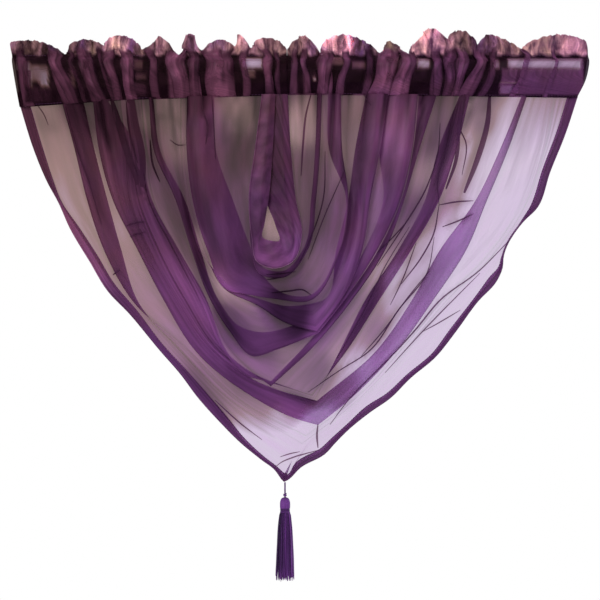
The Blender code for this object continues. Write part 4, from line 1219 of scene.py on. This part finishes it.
def right_end(z):
    return RIGHT_END_X - RIGHT_END_CURVE * (z - RIGHT_END_WIDEST) ** 2


# ---- the loop ----------------------------------------------------------------------------------
def make_loop(voile):
    outer, crease, free = (
        spread([(*row[k], row.depth[k]) for row in LOOP], len(LOOP) // 2, LOOP_STEPS // 2)
        for k in range(3)
    )
    rows = []
    for a, b, layers in ((free, crease, 2), (crease, outer, 2), (outer, crease, 0),
                         (crease, free, 0)):
        for t in np.linspace(0.0, 1.0, LOOP_SIDE_STEPS, endpoint=False):
            rows.append(a + (b - a) * t + layers * LAYER_GAP * BACK)
    places = np.array(rows + [free])
    places[..., 1] += SEAM_GAP * (places[..., 1] < LOOP_TOP_DROP)
    run = np.linspace(0.0, 1.0, places.shape[1])
    places[..., 2] += 0.35 * np.sin(70.0 * run) + 0.2 * np.sin(133.0 * run + 1.0)
    fine = to_frame(places)
    u, v = run_lengths(fine)
    # painted shade across the front from the outer edge to the crease and on to the free edge: the
    # front leg brightest in its middle
    to_edge = np.abs(np.arange(len(fine)) - LOOP_MID_ROW) / LOOP_HALF_ROWS
    leg = 1.25 - 0.6 * np.clip(to_edge, 0.0, 1.0) ** 2
    leg[-LOOP_SIDE_STEPS:] = LOOP_INNER_TONE
    tone = np.outer(leg, np.interp(run, *np.array(LOOP_TONES).T))
    floats = {
        "density": np.full(u.shape, LOOP_DENSITY), "tone": tone,
        "light": np.tile(0.1 + 0.15 * bell(run - 0.5, LOOP_FOOT), (len(fine), 1)),
        "lane": u / 70.0, "along": v / 100.0,
    }
    return piece("loop_cloth", fine.reshape(-1, 3), grid_faces(*u.shape), voile,
                 floats, flat_pairs(u, v))


# ---- stitching -------------------------------------------------------------------------------
def add_stitch(verts, faces, start, end):
    """One stitch from start to end, a short square thread with thin ends."""
    way = (end - start) / np.linalg.norm(end - start)
    across_way = np.cross(way, (0.0, 1.0, 0.0))
    across_way /= max(1e-6, np.linalg.norm(across_way))
    out = np.cross(across_way, way)
    if out[1] > 0:
        out = -out
    base = len(verts)
    for share, radius in STITCH_SECTION:
        centre = start + (end - start) * share - (0.0, STITCH_LIFT, 0.0)
        for angle in np.arange(4) * 0.25 * TURN:
            verts.append(centre + radius * (math.cos(angle) * across_way
                                            + math.sin(angle) * out))
    faces += grid_faces(4, 4, base, closed=True)
    faces.append((base, base + 1, base + 2, base + 3))
    faces.append((base + 15, base + 14, base + 13, base + 12))


def make_stitching(lines, thread):
    """Short thread stitches along lines of the cloth."""
    verts, faces = [], []
    for line in lines:
        length = lengths_along(line)[-1]
        if length < LEAST_STITCHES * STITCH_PITCH:
            continue
        even = resampled(line, int(length / STITCH_PITCH) * 4)
        for k in range(0, len(even) - 4, 4):
            if np.linalg.norm(even[k + 3] - even[k]) >= LEAST_STITCH * STITCH_PITCH:
                add_stitch(verts, faces, even[k], even[k + 3])
    return piece("stitching", verts, faces, thread,
                 {"tone": np.full(len(verts), STITCH_TONE)})


# ---- cord and tassel ---------------------------------------------------------------------------
class Threads:
    """Round threads of the cord or the tassel, gathered into one piece."""

    def __init__(self):
        self.verts, self.faces, self.tones = [], [], []

    def add(self, path, radii, sides, tone, phase=0.0):
        """A tube along path; radii and tone are one value, or one for each of its points."""
        way = np.gradient(path, axis=0)
        way /= np.linalg.norm(way, axis=1)[:, None]
        first = np.cross(way, (0.0, 1.0, 0.0))
        size = np.linalg.norm(first, axis=1)[:, None]
        first = np.where(size > 1e-3, first / np.maximum(size, 1e-9), (1.0, 0.0, 0.0))
        second = np.cross(way, first)
        start = len(self.verts)
        radii = np.broadcast_to(radii, len(path))
        for centre, a, b, radius in zip(path, first, second, radii):
            for k in range(sides):
                angle = TURN * k / sides + phase
                self.verts.append(centre + radius * (math.cos(angle) * a + math.sin(angle) * b))
        self.faces += grid_faces(len(path), sides, start, closed=True)
        last = len(self.verts) - sides
        self.faces.append(tuple(start + k for k in range(sides))[::-1])
        self.faces.append(tuple(last + k for k in range(sides)))
        self.tones += list(np.repeat(np.broadcast_to(tone, len(path)), sides))

    def piece(self, name, thread):
        return piece(name, self.verts, self.faces, thread, {"tone": self.tones})


def round_path(angle, radius, drop):
    """Places at an angle and radius round the tassel's middle, drop below the rod."""
    return np.column_stack([TASSEL_X + radius * np.cos(angle), radius * np.sin(angle), -drop])


def make_cord(thread):
    cord = Threads()
    share = np.linspace(0.0, 1.0, 60)
    drop = CORD_DROP + (HEAD_DROP - CORD_DROP) * share
    for ply in range(CORD_PLIES):
        angle = TURN * CORD_TURNS * share + 2.1 * ply
        cord.add(round_path(angle, PLY_RADIUS, drop), PLY_RADIUS, 6, 0.35 + 0.2 * ply)
    angle = np.linspace(0.0, TURN, 25)
    for turn, tilt in enumerate(KNOT_TILTS):
        drop = KNOT_DROP + KNOT_PITCH * (turn + 1) - tilt * np.cos(angle + turn)
        cord.add(round_path(angle, KNOT_RADIUS, drop), KNOT_THICK, 6, 0.3 + 0.25 * turn)
    return cord.piece("tassel_hanger", thread)


def add_head(tassel):
    """Threads laid over a ball, drawn in at the neck."""
    radius, drop = smooth_curve(HEAD_PROFILE, HEAD_STEPS).T
    share = np.linspace(0.0, 1.0, len(radius))
    for lay in range(HEAD_THREADS):
        angle = TURN * lay / HEAD_THREADS + HEAD_SWING * share
        # each thread brighter or darker at random, and brighter round the head's widest part: painted
        # light
        lit = 0.35 + 0.45 * RNG.random() + 0.45 * np.sin(4.2 * share - 0.6)
        tassel.add(round_path(angle, radius - HEAD_SUNK, drop), 0.18 + 0.085 * radius, 5,
                   np.clip(lit, 0.0, 1.5))
    tassel.add(round_path(0.0 * share, 0.0, drop), radius - 0.4, 20, 0.1)


def add_neck(tassel):
    """Turns of thread wound round the neck."""
    angle = np.linspace(0.0, TURN, 37)
    for turn in range(NECK_TURNS):
        drop = NECK_DROP + NECK_PITCH * (turn - 2) + 0.2 * np.sin(angle + turn)
        tassel.add(round_path(angle, NECK_RADIUS + 0.1, drop), NECK_THREAD, 6,
                   0.15 + 0.1 * turn)


def add_skirt(tassel):
    """Twisted strands that hang from the neck and lean out a little."""
    down = np.linspace(0.0, 1.0, STRAND_STEPS)
    thick = 0.42 + 0.14 * down + 0.06 * np.sin(60.0 * down)
    thick[-1] *= 0.5
    at_ends = 0.5 * smooth_step((down - 0.8) / 0.2) - 0.25 * smooth_step((0.08 - down) / 0.08)
    for strand in range(SKIRT_STRANDS):
        share = math.sqrt((strand + 0.5) / SKIRT_STRANDS)
        angle = strand * GOLDEN_ANGLE
        root = (NECK_RADIUS - 0.5) * share
        spread_out = SKIRT_RADIUS * share * (0.9 + 0.15 * RNG.random())
        length = SKIRT_DROP - NECK_DROP + ENDS_UNEVEN * (2.0 * RNG.random() - 1.2)
        out = root + (spread_out - root) * down ** SKIRT_FLARE
        sway = STRAND_SWAY * np.sin(down * (3.0 + 4.0 * RNG.random()) + 6.28 * RNG.random()) * down
        path = round_path(angle + STRAND_TURN * sway, out + sway, NECK_DROP - 0.8 + down * length)
        # each strand brighter or darker at random, brighter towards the right: painted light; lighter
        # at the tips, darker just under the neck
        lit = 0.95 * RNG.random() ** 1.2 + 0.2 * math.cos(angle) + at_ends
        tassel.add(path, thick, 4, np.clip(lit, 0.0, 1.0), angle)


def make_tassel(thread):
    tassel = Threads()
    add_head(tassel)
    add_neck(tassel)
    add_skirt(tassel)
    return tassel.piece("tassel_threads", thread)


# ---- build the pieces ---------------------------------------------------------------------------
voile = make_voile("voile_sheer")
heading_voile = make_voile("voile_gathered", extra_cover=0.05)
stitch_thread = make_thread("stitch_thread", rgb(0.045, 0.012, 0.045), rgb(0.09, 0.03, 0.09))
tassel_thread = make_thread("tassel_thread", rgb(0.022, 0.005, 0.044), rgb(0.13, 0.034, 0.21))

panel, hem_seam = make_panel(voile)
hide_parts("swag_panel")
left_heading, left_seams = make_heading("left_heading", heading_voile, FRILL_LEFT,
                                        GATHERS_LEFT, left_end, left_cut)
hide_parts("heading_left")
right_heading, right_seams = make_heading("right_heading", heading_voile, FRILL_RIGHT,
                                          GATHERS_RIGHT, right_cut, right_end)
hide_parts("heading_right")
loop = make_loop(voile)
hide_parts("heading_loop")
hanger = make_cord(tassel_thread)
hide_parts("tassel_cord")
tassel = make_tassel(tassel_thread)
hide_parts("tassel")
make_stitching([hem_seam] + left_seams + right_seams, stitch_thread)

rod_paint = make_rod_paint()
for material_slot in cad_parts["rod"].material_slots:
    material_slot.material = rod_paint

# ---- floor, light and camera (m) ----------------------------------------------------------------
FLOOR_Z = -0.75
FLOOR_RADIUS = 1.6
FLOOR_SIDES = 96
AIM = (0.0, 0.0, -0.2)


def add_object(name, data):
    obj = bpy.data.objects.new(name, data)
    bpy.context.scene.collection.objects.link(obj)
    return obj


def add_light(name, place, size, watts, colour):
    light = bpy.data.lights.new(name, "AREA")
    light.size = size
    light.energy = watts
    light.color = colour
    obj = add_object(name, light)
    obj.location = place
    obj.rotation_euler = (Vector(AIM) - Vector(place)).to_track_quat("-Z", "Y").to_euler()


floor_mesh = bpy.data.meshes.new("floor")
rim = [(FLOOR_RADIUS * math.cos(angle), FLOOR_RADIUS * math.sin(angle), FLOOR_Z)
       for angle in np.linspace(0.0, TURN, FLOOR_SIDES, endpoint=False)]
floor_mesh.from_pydata(rim, [], [tuple(range(FLOOR_SIDES))])
floor_mesh.materials.append(make_floor_paint())
floor = add_object("floor", floor_mesh)
add_light("key", (-1.0, -1.7, 0.8), 0.9, 32.0, (1.0, 0.97, 0.94))
add_light("side", (1.7, -0.9, 0.3), 0.7, 14.0, (0.93, 0.92, 1.0))

world = bpy.data.worlds.new("studio")
world.use_nodes = True
world.node_tree.nodes["Background"].inputs["Color"].default_value = rgb(1.0, 1.0, 1.0)
world.node_tree.nodes["Background"].inputs["Strength"].default_value = 1.0
bpy.context.scene.world = world
bpy.context.scene.view_settings.view_transform = "Standard"
bpy.context.scene.cycles.transparent_max_bounces = 48

# 1 mm in the drape's plane is 1 pixel of the 600-pixel frame
VIEW_CENTRE_X = 0.002
VIEW_CENTRE_Z = -0.235
CAMERA_DISTANCE = 2.5
lens = bpy.data.cameras.new("camera")
lens.sensor_width = 36.0
lens.lens = 150.0
camera = add_object("camera", lens)
camera.location = (VIEW_CENTRE_X, -CAMERA_DISTANCE, VIEW_CENTRE_Z)
camera.rotation_euler = (math.radians(90.0), 0.0, 0.0)
bpy.context.scene.camera = camera
